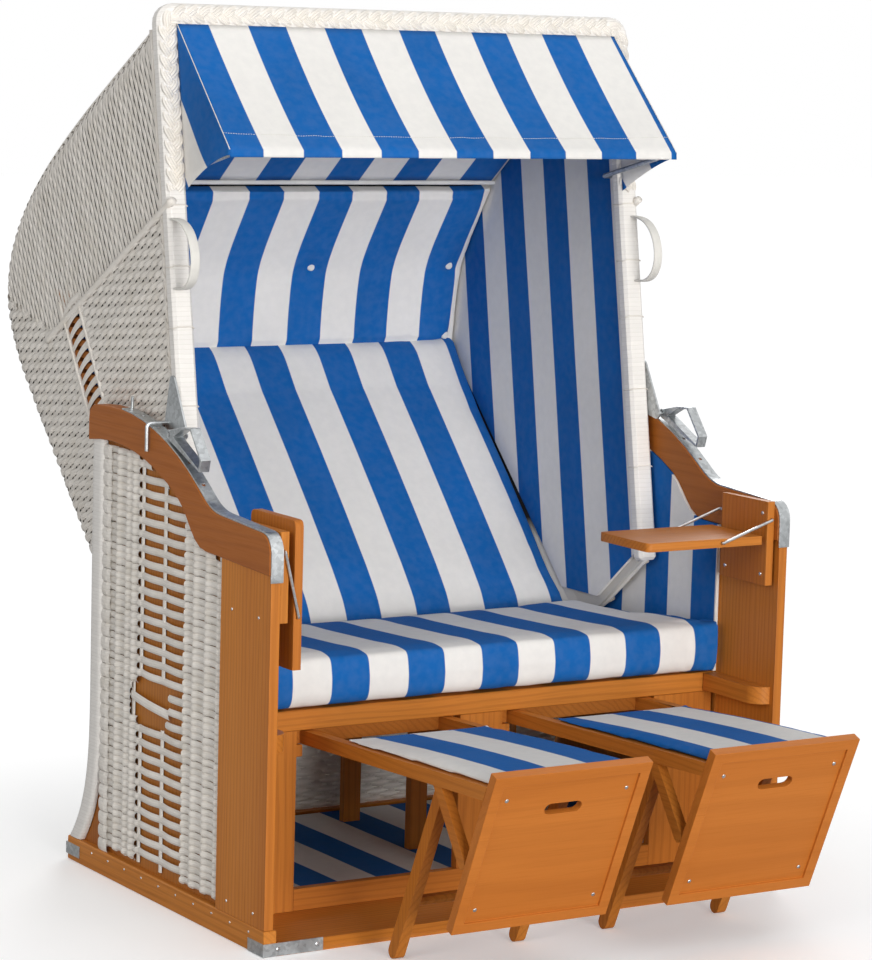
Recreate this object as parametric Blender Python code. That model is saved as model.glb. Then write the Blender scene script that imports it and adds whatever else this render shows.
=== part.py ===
"""Two-seat hooded wicker beach chair. Metres, +Z up, front towards -Y, origin on the ground below the base's centre.

Side outlines are drawn as (depth, height): depth is measured back from the base's front face.
"""

import math

import bmesh
import bpy
from mathutils import Matrix, Vector
from mathutils.geometry import delaunay_2d_cdt

# Overall sizes and the running gap between touching pieces
BASE_WIDTH = 1.200
BASE_DEPTH = 0.765
GAP = 0.0003
OVERRUN = 0.010
ROUND_SIDES = 12
ARC_STEPS = 6

# Layers of the base's side, from the outside in
BOARD_THICK = 0.020
BOARD_DEPTH = 0.195
SKIN_THICK = 0.014
WALL_THICK = 0.0077
LINING_THICK = 0.0082
LINING_LOW = 0.4225

# Bottom rails and the flared foot behind the base
RAIL_HEIGHT = 0.050
RAIL_THICK = 0.028
FOOT_REACH = 0.085
REAR_TOP = 0.440
REAR_THICK = 0.012
REAR_CURL = 4
REAR_STEPS = 10

# Hood pivot, and the armrest whose top runs round it
PIVOT_D = 0.670
PIVOT_Z = 0.300
ARM_THICK = 0.030
ARM_OVERHANG = 0.004
ARM_RADIUS = 0.670
ARM_WIDTH = 0.070
ARM_FRONT_LOW = 0.725
ARM_FRONT_TOP = 0.802
ARM_CORNER = 0.035
ARM_FLAT = 0.200
ARM_FLAT_LOW = 0.733
ARM_FLAT_TOP = 0.812
ARM_RISE_ANGLE = 55.2
ARM_UNDER_ANGLE = 60.0
ARM_UNDER_D = 0.255
ARM_UNDER_Z = 0.735
ARM_REAR = 0.768
ARM_REAR_CORNER = 0.030
ARM_TOP_KNEE_SHARES = ((0.40, 0.065), (0.625, 0.39))
ARM_LOW_KNEE_SHARES = ((0.374, 0.29), (0.52, 1.0))
EDGE_ROUND = 0.004

# Steel band on the armrest, its holes and the hood's stop pin
BAND_WIDTH = 0.026
BAND_THICK = 0.003
BAND_LAP = 0.013
BAND_END_ANGLE = 86.0
BAND_HOLE = 0.004
BAND_HOLE_FIRST = 50.0
BAND_HOLE_STEP = 6.0
BAND_HOLE_COUNT = 5
BAND_CENTRE_IN = 0.011
PIN_RADIUS = 0.003
PIN_HEIGHT = 0.030
PIN_ANGLE = 84.4

# Open weave columns and the hand hold in each side
SLOT_FIRST_D = 0.355
SLOT_WIDTH = 0.086
SLOT_COLUMN_PITCH = 0.100
SLOT_COLUMNS = 2
SLOT_PITCH = 0.028
SLOT_HEIGHT = 0.013
SLOT_LOW = 0.070
SLOT_MARGIN = 0.016
HOLD_FIRST_D = 0.417
HOLD_WIDTH = 0.155
HOLD_LOW = 0.337
HOLD_HEIGHT = 0.109
HOLD_SHARES = ((0.0, 0.40), (0.10, 0.16), (0.45, 0.0), (0.80, 0.05), (1.0, 0.22),
               (1.0, 0.72), (0.82, 0.90), (0.40, 1.0), (0.05, 0.92), (0.0, 0.80))

# Floor of the base
PLANK_TOP = 0.021
PLANK_BACK = 0.225
PLANK_ROUND_D = 0.012
PLANK_ROUND_Z = 0.013
JOIST_HALF = 0.030
JOIST_TOP = 0.040
FLOOR_THICK = 0.008
FLOOR_PAST_BASE = 0.035
SILL_TOP = 0.065

# Posts below the seat, the seat rail and the seat board
POST_FRONT = 0.200
POST_THICK = 0.020
POST_TOP = 0.3805
CENTRE_POST_HALF = 0.050
INNER_POST_D = 0.430
REAR_POST_IN = 0.065
INNER_POST_HALF = 0.020
RUNNER_END_IN = 0.015
RUNNER_HEIGHT = 0.024
RUNNER_WIDTH = 0.0127
RUNNER_LAP = 0.010
SEAT_RAIL_FRONT = 0.197
SEAT_RAIL_BACK = 0.232
SEAT_RAIL_TOP = 0.422
BOARD_BACK = 0.620
BOARD_SIDE_GAP = 0.0345
BOARD_TOP = 0.4217
SEAT_BOARD_THICK = 0.016
BATTEN_FRONT = 0.500
BATTEN_DEPTH = 0.025
BATTEN_LOW = 0.370
CLEAT_FRONT = 0.012
CLEAT_WIDTH = 0.035
CLEAT_LOW = 0.385
CLEAT_HEIGHT = 0.036

# Seat cushion
CUSHION_FRONT = 0.175
CUSHION_BACK = 0.640
CUSHION_STEP_D = 0.400
CUSHION_SIDE_GAP = 0.0075
CUSHION_REAR_GAP = 0.0042
CUSHION_FRONT_HEIGHT = 0.098
CUSHION_BACK_HEIGHT = 0.078
CUSHION_EDGE = 0.014
CUSHION_CROWN = 0.010

# Hood: rim, shell, lining
RIM_INSET = 0.0375
RIM_LOW_D = 0.395
RIM_LOW_Z = 0.630
RIM_TOP_D = 0.578
RIM_TOP_Z = 1.775
RIM_WIDTH = 0.045
RIM_HEAD = 0.055
RIM_DEPTH = 0.032
RIM_CORNER = 0.040
RIM_ROUND = 0.007
SHELL_INSET = 0.0065
SHELL_WALL = 0.016
SHELL_CORNER = 0.080
HOOD_LINING_THICK = 0.0095
ROOF_START = (0.605, 1.762)
ROOF_KNEE = (0.950, 1.5635)
HOOD_BACK_D = 1.325
HOOD_BACK_Z = 1.165
HOOD_HIP = (1.200, 0.930)
HOOD_TAIL = (0.700, 0.430)
ROOF_BEND_SHARES = ((0.453, 0.2625), (1.0, 0.5875))
HIP_BEND_SHARES = ((0.0, 0.362), (0.44, 0.702))
HOOD_STEPS = 10
CORNER_STEPS = 4
TONGUE_RADIUS = 0.048
TONGUE_FRONT = ((0.600, 0.420), (0.575, 0.505))
TONGUE_ROOT = ((0.610, 0.610), (0.720, 0.590))
LINING_CHIN = 0.020
STUD_RADIUS = 0.010
STUD_CLEAR = 0.0006
STUD_PROUD = 0.004
VENT_COUNT = 9
VENT_LOW = (0.826, 0.950)
VENT_TOP = (0.947, 1.130)
VENT_LENGTH = 0.060
VENT_HEIGHT = 0.009

# Back and neck cushions, and the rod at the roof
BACK_LOW = (0.680, 0.490)
BACK_TOP = (1.175, 1.020)
BACK_EDGE = 0.016
BACK_CROWN = 0.010
BACK_HIP_CLEAR = 0.0018
NECK_LOW = (1.178, 1.034)
NECK_KINK = (1.158, 1.200)
NECK_TOP = (1.040, 1.378)
NECK_THICK = 0.030
NECK_EDGE = 0.010
NECK_CROWN = 0.004
ROD_D = 1.035
ROD_Z = 1.400
ROD_RADIUS = 0.005

# Webbing loops on the rim
LOOP_LOW_Z = 1.216
LOOP_TOP_Z = 1.357
LOOP_REACH = 0.085
LOOP_WIDTH = 0.020
LOOP_THICK = 0.004
LOOP_OUT = 0.002
LOOP_STEPS = 10

# Hook and lever beside each armrest
HOOK_GAP = 0.0003
HOOK_THICK = 0.004
HOOK_ROUND = 0.010
HOOK_TOP_FROM_LEVER = (0.053, 0.099)
LEVER_RISE = 0.01694
LEVER_ANGLE = 68.927
LEVER_PIN = 0.004
LEVER_CLEAR = 0.0006
LEVER_WIDTH = 0.022
HOOK_LOBE = 0.012
ROD_ANGLE = 75.0
ROD_RISE = 0.008
ROD_PROUD = 0.0105
ROD_FOOT_LOW = 0.041
HOOK_ROD = 0.004
LEVER_LOOP = ((-0.056, 0.020), (-0.091, 0.022), (-0.137, -0.035), (-0.130, -0.059))
LEVER_HOLE = ((-0.020, -0.003), (-0.057, 0.0155), (-0.089, 0.0175), (-0.1305, -0.035), (-0.1255, -0.053))
LEVER_EYE = 0.0095

# Awning: bow and cloth
BOW_PIVOT_D = 0.572
BOW_PIVOT_Z = 1.437
BOW_BAR_D = 0.340
BOW_BAR_Z = 1.492
BOW_SIDE_IN = 0.0525
BOW_RADIUS = 0.005
BOW_BEND = 0.025
CLOTH_TOP_Z = 1.722
CLOTH_PAST_BOW = 0.009
CLOTH_GAP = 0.0005
CLOTH_FLARE = 0.006
CLOTH_THICK = 0.003
CLOTH_SAG = 0.012
CLOTH_HEM = 0.030
WING_LOW_Z = 1.462
CLOTH_STEPS = 8
CLOTH_SPANS = 12

# Folding tables
PLATE_THICK = 0.0175
PLATE_FRONT = 0.012
PLATE_BACK = 0.168
PLATE_LOW = 0.632
PLATE_TOP = 0.805
LEAF_LENGTH = 0.2835
LEAF_FRONT = 0.012
LEAF_BACK = 0.185
LEAF_THICK = 0.018
LEAF_BUTT_GAP = 0.0125
LEAF_ROUND = 0.012
WIRE_RADIUS = 0.003
WIRE_X_IN = 0.0075
WIRE_Z = 0.768
WIRE_LENGTH = 0.130
WIRE_SIDE_GAP = 0.001
WIRE_OPEN_ANGLE = 18.5
WIRE_FOLDED_ANGLE = 76.0
WIRE_CLEAR = 0.0006
PIN_REACH = 0.012

# Footrests
REST_INNER = 0.070
REST_OUTER = 0.410
REST_RAIL_WIDTH = 0.022
REST_RAIL_HEIGHT = 0.027
REST_RAIL_D = 0.190
REST_RAIL_Z = 0.353
REST_SLOPE = 0.0383
SLIDE_ANGLE = 4.5
REST_BACK = 0.235
REST_BAR_DEPTH = 0.020
REST_BAR_LAP = 0.012
DECK_THICK = 0.006
DECK_BACK = 0.050
PAD_INSET = 0.010
PAD_FRONT_HEIGHT = 0.015
PAD_BACK_HEIGHT = 0.005
PAD_FULL_D = -0.200
PAD_EDGE = 0.004
PAD_CROWN = 0.003
PANEL_TOP = (-0.490, 0.425)
PANEL_LOW = (-0.355, 0.108)
PANEL_THICK = 0.020
PANEL_FRAME = 0.022
PANEL_RECESS = 0.005
PANEL_SLOT_WIDTH = 0.080
PANEL_SLOT_HEIGHT = 0.024
PANEL_SLOT_FROM_TOP = 0.085
APEX_D = -0.2711
APEX_Z = 0.372
FOOT_D = -0.112
FOOT_Z = 0.014
LEG_HALF = 0.0135
LEG_THICK = 0.022
LEG_GAP = 0.0015
LEG_PIN = 0.004
CROSS_SHARE = 0.30
CROSS_HEIGHT = 0.020
BRACE_HALF = 0.012
BRACE_LOW_SHARE = 0.60

# Corner brackets
BRACKET_THICK = 0.002
BRACKET_FRONT_LENGTH = 0.130
BRACKET_SIDE_LENGTH = 0.060
BRACKET_HEIGHT = 0.025
BRACKET_FRONT_Z = 0.001
BRACKET_REAR_Z = 0.012

SIDE_X = BASE_WIDTH / 2
HALF_DEPTH = BASE_DEPTH / 2
WALL_OUT = SIDE_X - SKIN_THICK - GAP
WALL_IN = WALL_OUT - WALL_THICK
LINING_OUT = WALL_IN - GAP
LINING_IN = LINING_OUT - LINING_THICK
BETWEEN = SIDE_X - RAIL_THICK - GAP
INSIDE_BACK = BASE_DEPTH - REAR_THICK - GAP
RIM_X = SIDE_X - RIM_INSET
SHELL_X = RIM_X - SHELL_INSET
HOOD_LINING_OUT = SHELL_X - SHELL_WALL - GAP
HOOD_LINING_IN = HOOD_LINING_OUT - HOOD_LINING_THICK
RIM_LEAN = math.atan2(RIM_TOP_D - RIM_LOW_D, RIM_TOP_Z - RIM_LOW_Z)
REST_MIDDLE = (REST_INNER + REST_OUTER) / 2
FLOOR_BACK = BASE_DEPTH + FLOOR_PAST_BASE
REAR_POST_D = BASE_DEPTH - REAR_POST_IN
RUNNER_BACK = BASE_DEPTH - RUNNER_END_IN
BOARD_HALF = LINING_IN - BOARD_SIDE_GAP
CUSHION_FRONT_HALF = LINING_IN - CUSHION_SIDE_GAP
CUSHION_BACK_HALF = HOOD_LINING_IN - CUSHION_REAR_GAP
LEVER_REACH = ARM_RADIUS + LEVER_RISE
LEVER_D = PIVOT_D - LEVER_REACH * math.cos(math.radians(LEVER_ANGLE))
LEVER_Z = PIVOT_Z + LEVER_REACH * math.sin(math.radians(LEVER_ANGLE))
LEVER_IN = SIDE_X - LEVER_WIDTH
ROD_OUT = SIDE_X + ROD_PROUD
BOW_HALF = RIM_X - BOW_SIDE_IN
CLOTH_HALF = BOW_HALF + CLOTH_PAST_BOW

LOOKS = {
    "wicker": ((0.80, 0.77, 0.70, 1.0), 0.45, 0.0),
    "stained_wood": ((0.42, 0.16, 0.035, 1.0), 0.42, 0.0),
    "galvanised": ((0.48, 0.50, 0.50, 1.0), 0.38, 1.0),
    "striped_cloth": ((0.03, 0.17, 0.50, 1.0), 0.80, 0.0),
    "white_cloth": ((0.80, 0.79, 0.76, 1.0), 0.75, 0.0),
}


def clear_scene():
    for old in list(bpy.data.objects):
        bpy.data.objects.remove(old)


def material(look):
    found = bpy.data.materials.get(look)
    if found:
        return found
    colour, roughness, metallic = LOOKS[look]
    made = bpy.data.materials.new(look)
    made.use_nodes = True
    shader = made.node_tree.nodes["Principled BSDF"]
    shader.inputs["Base Color"].default_value = colour
    shader.inputs["Roughness"].default_value = roughness
    shader.inputs["Metallic"].default_value = metallic
    made.diffuse_color = colour
    return made


def joint_empty(name, place, parent=None):
    """An empty on a joint's axis. Its children keep their world places."""
    empty = bpy.data.objects.new(name, None)
    bpy.context.scene.collection.objects.link(empty)
    empty.location = place
    empty["place"] = tuple(place)
    adopt(empty, parent)
    return empty


def adopt(child, parent):
    if parent is None:
        return
    child.parent = parent
    child.matrix_parent_inverse = Matrix.Translation(Vector(parent["place"])).inverted()


def mesh_of(bm, smooth_angle=None):
    bmesh.ops.recalc_face_normals(bm, faces=bm.faces)
    mesh = bpy.data.meshes.new("shape")
    bm.to_mesh(mesh)
    bm.free()
    if smooth_angle:
        mesh.shade_smooth()
        mesh.set_sharp_from_angle(angle=math.radians(smooth_angle))
    return mesh


def helper(mesh, name):
    """A cutter or an addend: kept in the scene, but not a piece."""
    made = bpy.data.objects.new(name, mesh)
    bpy.context.scene.collection.objects.link(made)
    made.hide_render = True
    made.display_type = "WIRE"
    return made


def add(name, meshes, look, parent=None, cutters=(), rounding=0.0, solver="EXACT"):
    """One piece: the first mesh, united with the others, less the cutters, with small rounded edges."""
    if not isinstance(meshes, (list, tuple)):
        meshes = [meshes]
    piece = bpy.data.objects.new(name, meshes[0])
    bpy.context.scene.collection.objects.link(piece)
    piece.data.materials.append(material(look))
    if rounding:
        bevel = piece.modifiers.new("rounding", "BEVEL")
        bevel.width = rounding
        bevel.segments = 1
        bevel.limit_method = "ANGLE"
        bevel.angle_limit = math.radians(50)
    change(piece, "UNION", meshes[1:], solver)
    change(piece, "DIFFERENCE", cutters, solver)
    adopt(piece, parent)
    return piece


def change(piece, operation, meshes, solver="EXACT"):
    """Adds meshes to a piece, or cuts them from it."""
    for mesh in meshes:
        tool = helper(mesh, piece.name + "_tool_" + str(len(piece.modifiers)))
        step = piece.modifiers.new(operation.lower(), "BOOLEAN")
        step.operation = operation
        step.solver = solver
        step.object = tool


def at(x, d, z):
    return (x, d - HALF_DEPTH, z)


def arc(centre, radius, start, end, steps=ARC_STEPS):
    """Points (depth, height) from one angle to another, in degrees from straight back, turning up."""
    turns = [math.radians(start + (end - start) * i / steps) for i in range(steps + 1)]
    return [(centre[0] + radius * math.cos(t), centre[1] + radius * math.sin(t)) for t in turns]


def round_pivot(angle, radius):
    """The point at this radius round the hood's pivot, the angle measured from straight forward, turning up."""
    return arc((PIVOT_D, PIVOT_Z), radius, 180 - angle, 180 - angle, 1)[0]


def bend(start, end, shares, steps=ARC_STEPS):
    """A cubic curve between two points, its two handles placed by shares of the span."""
    handles = [(start[0] + (end[0] - start[0]) * u, start[1] + (end[1] - start[1]) * v) for u, v in shares]
    points = []
    for i in range(steps + 1):
        t = i / steps
        weights = ((1 - t) ** 3, 3 * t * (1 - t) ** 2, 3 * t * t * (1 - t), t ** 3)
        controls = (start, handles[0], handles[1], end)
        points.append(tuple(sum(w * c[k] for w, c in zip(weights, controls)) for k in (0, 1)))
    return points


def joined(*chains):
    """Chains of points as one, with repeated points left out."""
    points = []
    for point in [p for chain in chains for p in chain]:
        if not points or math.dist(points[-1], point) > GAP:
            points.append(point)
    return points


def shifted(points, distances, closed=False):
    """Each point moved to the left of the line's direction by its own distance."""
    count = len(points)
    moved = []
    for i, point in enumerate(points):
        before = points[i - 1] if i or closed else point
        after = points[(i + 1) % count] if i < count - 1 or closed else point
        normals = []
        for a, b in ((before, point), (point, after)):
            length = math.dist(a, b)
            if length:
                normals.append(((a[1] - b[1]) / length, (b[0] - a[0]) / length))
        nx = sum(n[0] for n in normals) / len(normals)
        nz = sum(n[1] for n in normals) / len(normals)
        scale = distances[i] / max(nx * nx + nz * nz, 1 / 4)
        moved.append((point[0] + nx * scale, point[1] + nz * scale))
    return moved


def crossing(a, b, c, d):
    """Where the line through a and b meets the line through c and d."""
    ab = (b[0] - a[0], b[1] - a[1])
    cd = (d[0] - c[0], d[1] - c[1])
    t = ((c[0] - a[0]) * cd[1] - (c[1] - a[1]) * cd[0]) / (ab[0] * cd[1] - ab[1] * cd[0])
    return (a[0] + ab[0] * t, a[1] + ab[1] * t)


def inside(point, loop):
    hit = False
    for (x1, y1), (x2, y2) in zip(loop, loop[1:] + loop[:1]):
        if (y1 > point[1]) != (y2 > point[1]):
            if point[0] < x1 + (point[1] - y1) * (x2 - x1) / (y2 - y1):
                hit = not hit
    return hit


def panel(outline, holes, low, high, place):
    """A flat piece with holes: triangles on both faces, and walls along every edge of the outline."""
    loops = [list(outline)] + [list(hole) for hole in holes]
    points = [Vector(p) for loop in loops for p in loop]
    edges = []
    first = 0
    for loop in loops:
        edges += [(first + i, first + (i + 1) % len(loop)) for i in range(len(loop))]
        first += len(loop)
    flat, _, triangles = delaunay_2d_cdt(points, edges, [], 0, GAP * GAP)[:3]
    bm = bmesh.new()
    under = [bm.verts.new(place(p.x, p.y, low)) for p in flat]
    over = [bm.verts.new(place(p.x, p.y, high)) for p in flat]
    walls = {}
    for triangle in triangles:
        middle = sum((flat[i] for i in triangle), Vector((0.0, 0.0))) / len(triangle)
        if not inside(middle, loops[0]) or any(inside(middle, hole) for hole in loops[1:]):
            continue
        bm.faces.new([under[i] for i in reversed(triangle)])
        bm.faces.new([over[i] for i in triangle])
        for a, b in zip(triangle, triangle[1:] + triangle[:1]):
            walls[(a, b)] = True
    for a, b in walls:
        if (b, a) not in walls:
            bm.faces.new((under[a], under[b], over[b], over[a]))
    for vert in [v for v in bm.verts if not v.link_faces]:
        bm.verts.remove(vert)
    return mesh_of(bm)


def across(u, v, w):
    """Depth, height and place across."""
    return at(w, u, v)


def upright(u, v, w):
    """Place across, height and depth."""
    return at(u, w, v)


def level(u, v, w):
    """Place across, depth and height."""
    return at(u, v, w)


def slab(outline, x_low, x_high):
    return panel(outline, (), min(x_low, x_high), max(x_low, x_high), across)


def block(x_low, x_high, d_low, d_high, z_low, z_high):
    outline = ((d_low, z_low), (d_high, z_low), (d_high, z_high), (d_low, z_high))
    return slab(outline, x_low, x_high)


def loft(rings, smooth_angle=None):
    """A solid skin over rings of equally many points, closed by a face at each end."""
    bm = bmesh.new()
    made = [[bm.verts.new(p) for p in ring] for ring in rings]
    for ring, following in zip(made, made[1:]):
        for i in range(len(ring)):
            j = (i + 1) % len(ring)
            bm.faces.new((ring[i], ring[j], following[j], following[i]))
    bm.faces.new(made[0])
    bm.faces.new(made[-1])
    return mesh_of(bm, smooth_angle)


def strip(path, thick, x_low, x_high):
    """A flat bar that follows a path seen from the side."""
    half = thick / 2
    left = shifted(path, [half] * len(path))
    right = shifted(path, [-half] * len(path))
    rings = [[at(x_low, *l), at(x_high, *l), at(x_high, *r), at(x_low, *r)] for l, r in zip(left, right)]
    return loft(rings)


def cylinder(start, end, radius, sides=ROUND_SIDES):
    """A round bar between two places."""
    start, end = Vector(start), Vector(end)
    turn = Vector((0.0, 0.0, 1.0)).rotation_difference(end - start)
    rings = []
    for centre in (start, end):
        turns = [math.tau * i / sides for i in range(sides)]
        rings.append([centre + turn @ Vector((math.cos(t), math.sin(t), 0.0)) * radius for t in turns])
    return loft(rings, 40)


def rod(points, radius, bend_radius, sides=8):
    """A bent round bar: a tube along the points, its corners rounded."""
    points = [Vector(p) for p in points]
    path = [points[0]]
    for before, corner, after in zip(points, points[1:], points[2:]):
        first = corner + (before - corner).normalized() * bend_radius
        last = corner + (after - corner).normalized() * bend_radius
        for i in range(ARC_STEPS + 1):
            t = i / ARC_STEPS
            path.append(first * (1 - t) ** 2 + corner * (2 * t * (1 - t)) + last * t * t)
    path.append(points[-1])
    heading = (path[1] - path[0]).normalized()
    side = heading.orthogonal().normalized()
    rings = []
    for i, point in enumerate(path):
        ahead = (path[min(i + 1, len(path) - 1)] - path[max(i - 1, 0)]).normalized()
        side = heading.rotation_difference(ahead) @ side
        heading = ahead
        other = heading.cross(side)
        turns = [math.tau * k / sides for k in range(sides)]
        rings.append([point + (side * math.cos(t) + other * math.sin(t)) * radius for t in turns])
    return loft(rings, 40)


def around(centre, radius, sides=ROUND_SIDES):
    return arc(centre, radius, 0, 360 * (sides - 1) / sides, sides - 1)


def hull(circles):
    """The outline that a tight band round these circles has."""
    points = sorted(p for centre, radius in circles for p in around(centre, radius))
    outline = []
    for ordered in (points, points[::-1]):
        part = []
        for p in ordered:
            while len(part) > 1 and turn_of(part[-2], part[-1], p) <= 0:
                part.pop()
            part.append(p)
        outline += part[:-1]
    return outline


def turn_of(a, b, c):
    return (b[0] - a[0]) * (c[1] - a[1]) - (b[1] - a[1]) * (c[0] - a[0])


def edge_stations(half, radius, steps, middles=()):
    """Places across and how far in the outline lies there: rounded edges left and right, and a middle."""
    left = []
    for i in range(steps + 1):
        angle = math.pi / 2 * i / steps
        left.append((half - radius * (1 - math.cos(angle)), radius * (1 - math.sin(angle))))
    left = [(-x, inset) for x, inset in left]
    centre = [((half - radius) * share, 0.0) for share in middles]
    return left + centre + [(-x, inset) for x, inset in reversed(left)]


def pillow(section, weights, half, edge, crown, corner=None, x_middle=0.0):
    """A stuffed pad: its section is drawn in at the sides and swells by the crown in the middle.

    A corner function says how far the points without weight, at the back, give way to a rounded corner behind.
    """
    shares = (-0.85, -0.6, -0.3, 0.0, 0.3, 0.6, 0.85)
    places = [x for x, inset in edge_stations(half, edge, 3, shares)]
    if corner:
        places += [side * x for side in (-1, 1) for x, inset in shell_corner() if x < half - GAP]
    rings = []
    for x in sorted(places):
        over = max(0.0, (abs(x) - half + edge) / edge)
        inset = edge * (1 - math.sqrt(max(0.0, 1 - over * over)))
        swell = crown * (1 - (x / half) ** 4)
        distances = []
        for draw, rise in weights:
            back = corner(abs(x)) if corner and not draw and not rise else 0.0
            distances.append(inset * draw - swell * rise + back)
        ring = shifted(section, distances, closed=True)
        rings.append([at(x_middle + x, *point) for point in ring])
    return loft(rings, 50)


def shell_corner():
    """The hood's rounded inner corner: places across, and how far in the back lies there."""
    half = SHELL_X - SHELL_WALL
    radius = SHELL_CORNER - SHELL_WALL
    return [(abs(x), inset) for x, inset in edge_stations(half, radius, CORNER_STEPS) if x < 0]


def corner_inset(x):
    """How far in the shell's rounded inner corner lies at a place across."""
    stations = sorted(shell_corner())
    for (x1, in1), (x2, in2) in zip(stations, stations[1:]):
        if x1 <= x <= x2:
            return in1 + (in2 - in1) * (x - x1) / (x2 - x1)
    return 0.0


# The outlines of the base's side

def rear_edge(z):
    """Depth of the base's rear face at a height: upright above, curling out to the foot."""
    if z >= REAR_TOP:
        return BASE_DEPTH
    return BASE_DEPTH + FOOT_REACH * ((REAR_TOP - z) / (REAR_TOP - RAIL_HEIGHT)) ** REAR_CURL


def rear_chain(low, top, inward=0.0):
    """The rear edge from a height down to another."""
    heights = [top + (low - top) * i / REAR_STEPS for i in range(REAR_STEPS + 1)]
    chain = [(rear_edge(z), z) for z in heights]
    return shifted(chain, [-inward] * len(chain)) if inward else chain


def arm_top():
    """The armrest's upper edge, from the front face to the rear."""
    rise = round_pivot(ARM_RISE_ANGLE, ARM_RADIUS)
    centre = (ARM_CORNER, ARM_FRONT_TOP - ARM_CORNER)
    rear_d = ARM_REAR - ARM_REAR_CORNER
    last = math.degrees(math.acos((PIVOT_D - rear_d) / ARM_RADIUS))
    rim = [round_pivot(ARM_RISE_ANGLE + (last - ARM_RISE_ANGLE) * i / 9, ARM_RADIUS) for i in range(10)]
    return joined(arc(centre, ARM_CORNER, 180, 96, 5), [(ARM_FLAT, ARM_FLAT_TOP)],
                  bend((ARM_FLAT, ARM_FLAT_TOP), rise, ARM_TOP_KNEE_SHARES), rim)


def arm_under(drop=0.0, start=0.0):
    """The armrest's lower edge, from the front to the rear, lowered by a gap."""
    under = round_pivot(ARM_UNDER_ANGLE, ARM_RADIUS - ARM_WIDTH)
    radius = ARM_RADIUS - ARM_WIDTH
    last = math.degrees(math.acos((PIVOT_D - ARM_REAR) / radius))
    rim = [round_pivot(ARM_UNDER_ANGLE + (last - ARM_UNDER_ANGLE) * i / 8, radius) for i in range(9)]
    knee = bend(under, (ARM_UNDER_D, ARM_UNDER_Z), ARM_LOW_KNEE_SHARES)[::-1]
    chain = joined([(0.0, ARM_FRONT_LOW), (ARM_FLAT, ARM_FLAT_LOW)], knee, rim)
    chain = shifted(chain, [-drop] * len(chain)) if drop else chain
    return clipped(chain, start)


def clipped(chain, start):
    """The part of a chain that lies at or behind a depth."""
    kept = []
    for a, b in zip(chain, chain[1:]):
        if a[0] < start < b[0]:
            kept.append((start, a[1] + (b[1] - a[1]) * (start - a[0]) / (b[0] - a[0])))
        if b[0] > start and not kept:
            kept.append(a)
        if b[0] > start:
            kept.append(b)
    return kept


def ended(chain, end):
    """The part of a chain that lies before a depth."""
    turned = [(-d, z) for d, z in reversed(chain)]
    return [(-d, z) for d, z in reversed(clipped(turned, -end))]


def side_outline(front, low, back=None):
    """What fills the side below the armrest, from a depth back to the rear edge, or to an upright."""
    if back is None:
        top = ended(arm_under(GAP, front), BASE_DEPTH)
        return [(front, low)] + top + rear_chain(low, REAR_TOP)
    return [(front, low)] + ended(arm_under(GAP, front), back) + [(back, low)]


def band_path(offset, end_angle):
    """The armrest's upper edge moved outwards, starting below the front corner."""
    chain = [(0.0, ARM_FRONT_LOW - BAND_LAP)] + arm_top()
    last = round_pivot(end_angle, ARM_RADIUS)[0]
    return shifted(ended(chain[1:], last), [offset] * len(ended(chain[1:], last)))


def slot_outlines():
    """The open slots between the weave's bands, clear of the hand hold and of the armrest."""
    slots = []
    under = arm_under()
    for column in range(SLOT_COLUMNS):
        front = SLOT_FIRST_D + column * SLOT_COLUMN_PITCH
        back = front + SLOT_WIDTH
        ceiling = min(z for d, z in clipped(ended(under, back), front)) - SLOT_MARGIN
        rows = int((ceiling - SLOT_HEIGHT - SLOT_LOW) / SLOT_PITCH) + 1
        for row in range(rows):
            low = SLOT_LOW + row * SLOT_PITCH
            near_hold = HOLD_LOW - SLOT_MARGIN / 2 < low + SLOT_HEIGHT and low < HOLD_LOW + HOLD_HEIGHT + SLOT_MARGIN / 2
            if near_hold and back > HOLD_FIRST_D - SLOT_MARGIN / 2:
                back_here = HOLD_FIRST_D - SLOT_MARGIN / 2
            else:
                back_here = back
            if back_here - front > SLOT_MARGIN:
                slots.append([(front, low), (back_here, low), (back_here, low + SLOT_HEIGHT),
                              (front, low + SLOT_HEIGHT)])
    return slots


def hold_outline():
    return [(HOLD_FIRST_D + HOLD_WIDTH * u, HOLD_LOW + HOLD_HEIGHT * v) for u, v in HOLD_SHARES]


def build_sides():
    for name, side in (("left", -1), ("right", 1)):
        board_top = ended(arm_under(GAP), BOARD_DEPTH)
        board = [(0.0, RAIL_HEIGHT + GAP)] + board_top + [(BOARD_DEPTH, RAIL_HEIGHT + GAP)]
        add("side_board_" + name, slab(board, side * (SIDE_X - BOARD_THICK), side * SIDE_X), "stained_wood")
        arm = arm_top() + arc((ARM_REAR - ARM_REAR_CORNER, rear_corner_z()), ARM_REAR_CORNER, 90, 0, 4)
        arm = joined(arm, arm_under()[::-1])
        outer = side * (SIDE_X + ARM_OVERHANG)
        add("armrest_" + name, slab(arm, outer, outer - side * ARM_THICK), "stained_wood", rounding=EDGE_ROUND)
        build_band(name, side)
        build_skin(name, side)
        build_wall(name, side)
        lining = side_outline(BOARD_DEPTH + GAP, LINING_LOW, INSIDE_BACK)
        add("side_lining_" + name, slab(lining, side * LINING_IN, side * LINING_OUT), "striped_cloth")
        rail = block(side * (SIDE_X - RAIL_THICK), side * SIDE_X, 0.0, BASE_DEPTH + FOOT_REACH, 0.0, RAIL_HEIGHT)
        add("bottom_rail_" + name, rail, "stained_wood", rounding=EDGE_ROUND / 2)


def rear_corner_z():
    rear_d = ARM_REAR - ARM_REAR_CORNER
    return PIVOT_Z + math.sqrt(ARM_RADIUS ** 2 - (PIVOT_D - rear_d) ** 2) - ARM_REAR_CORNER


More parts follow.
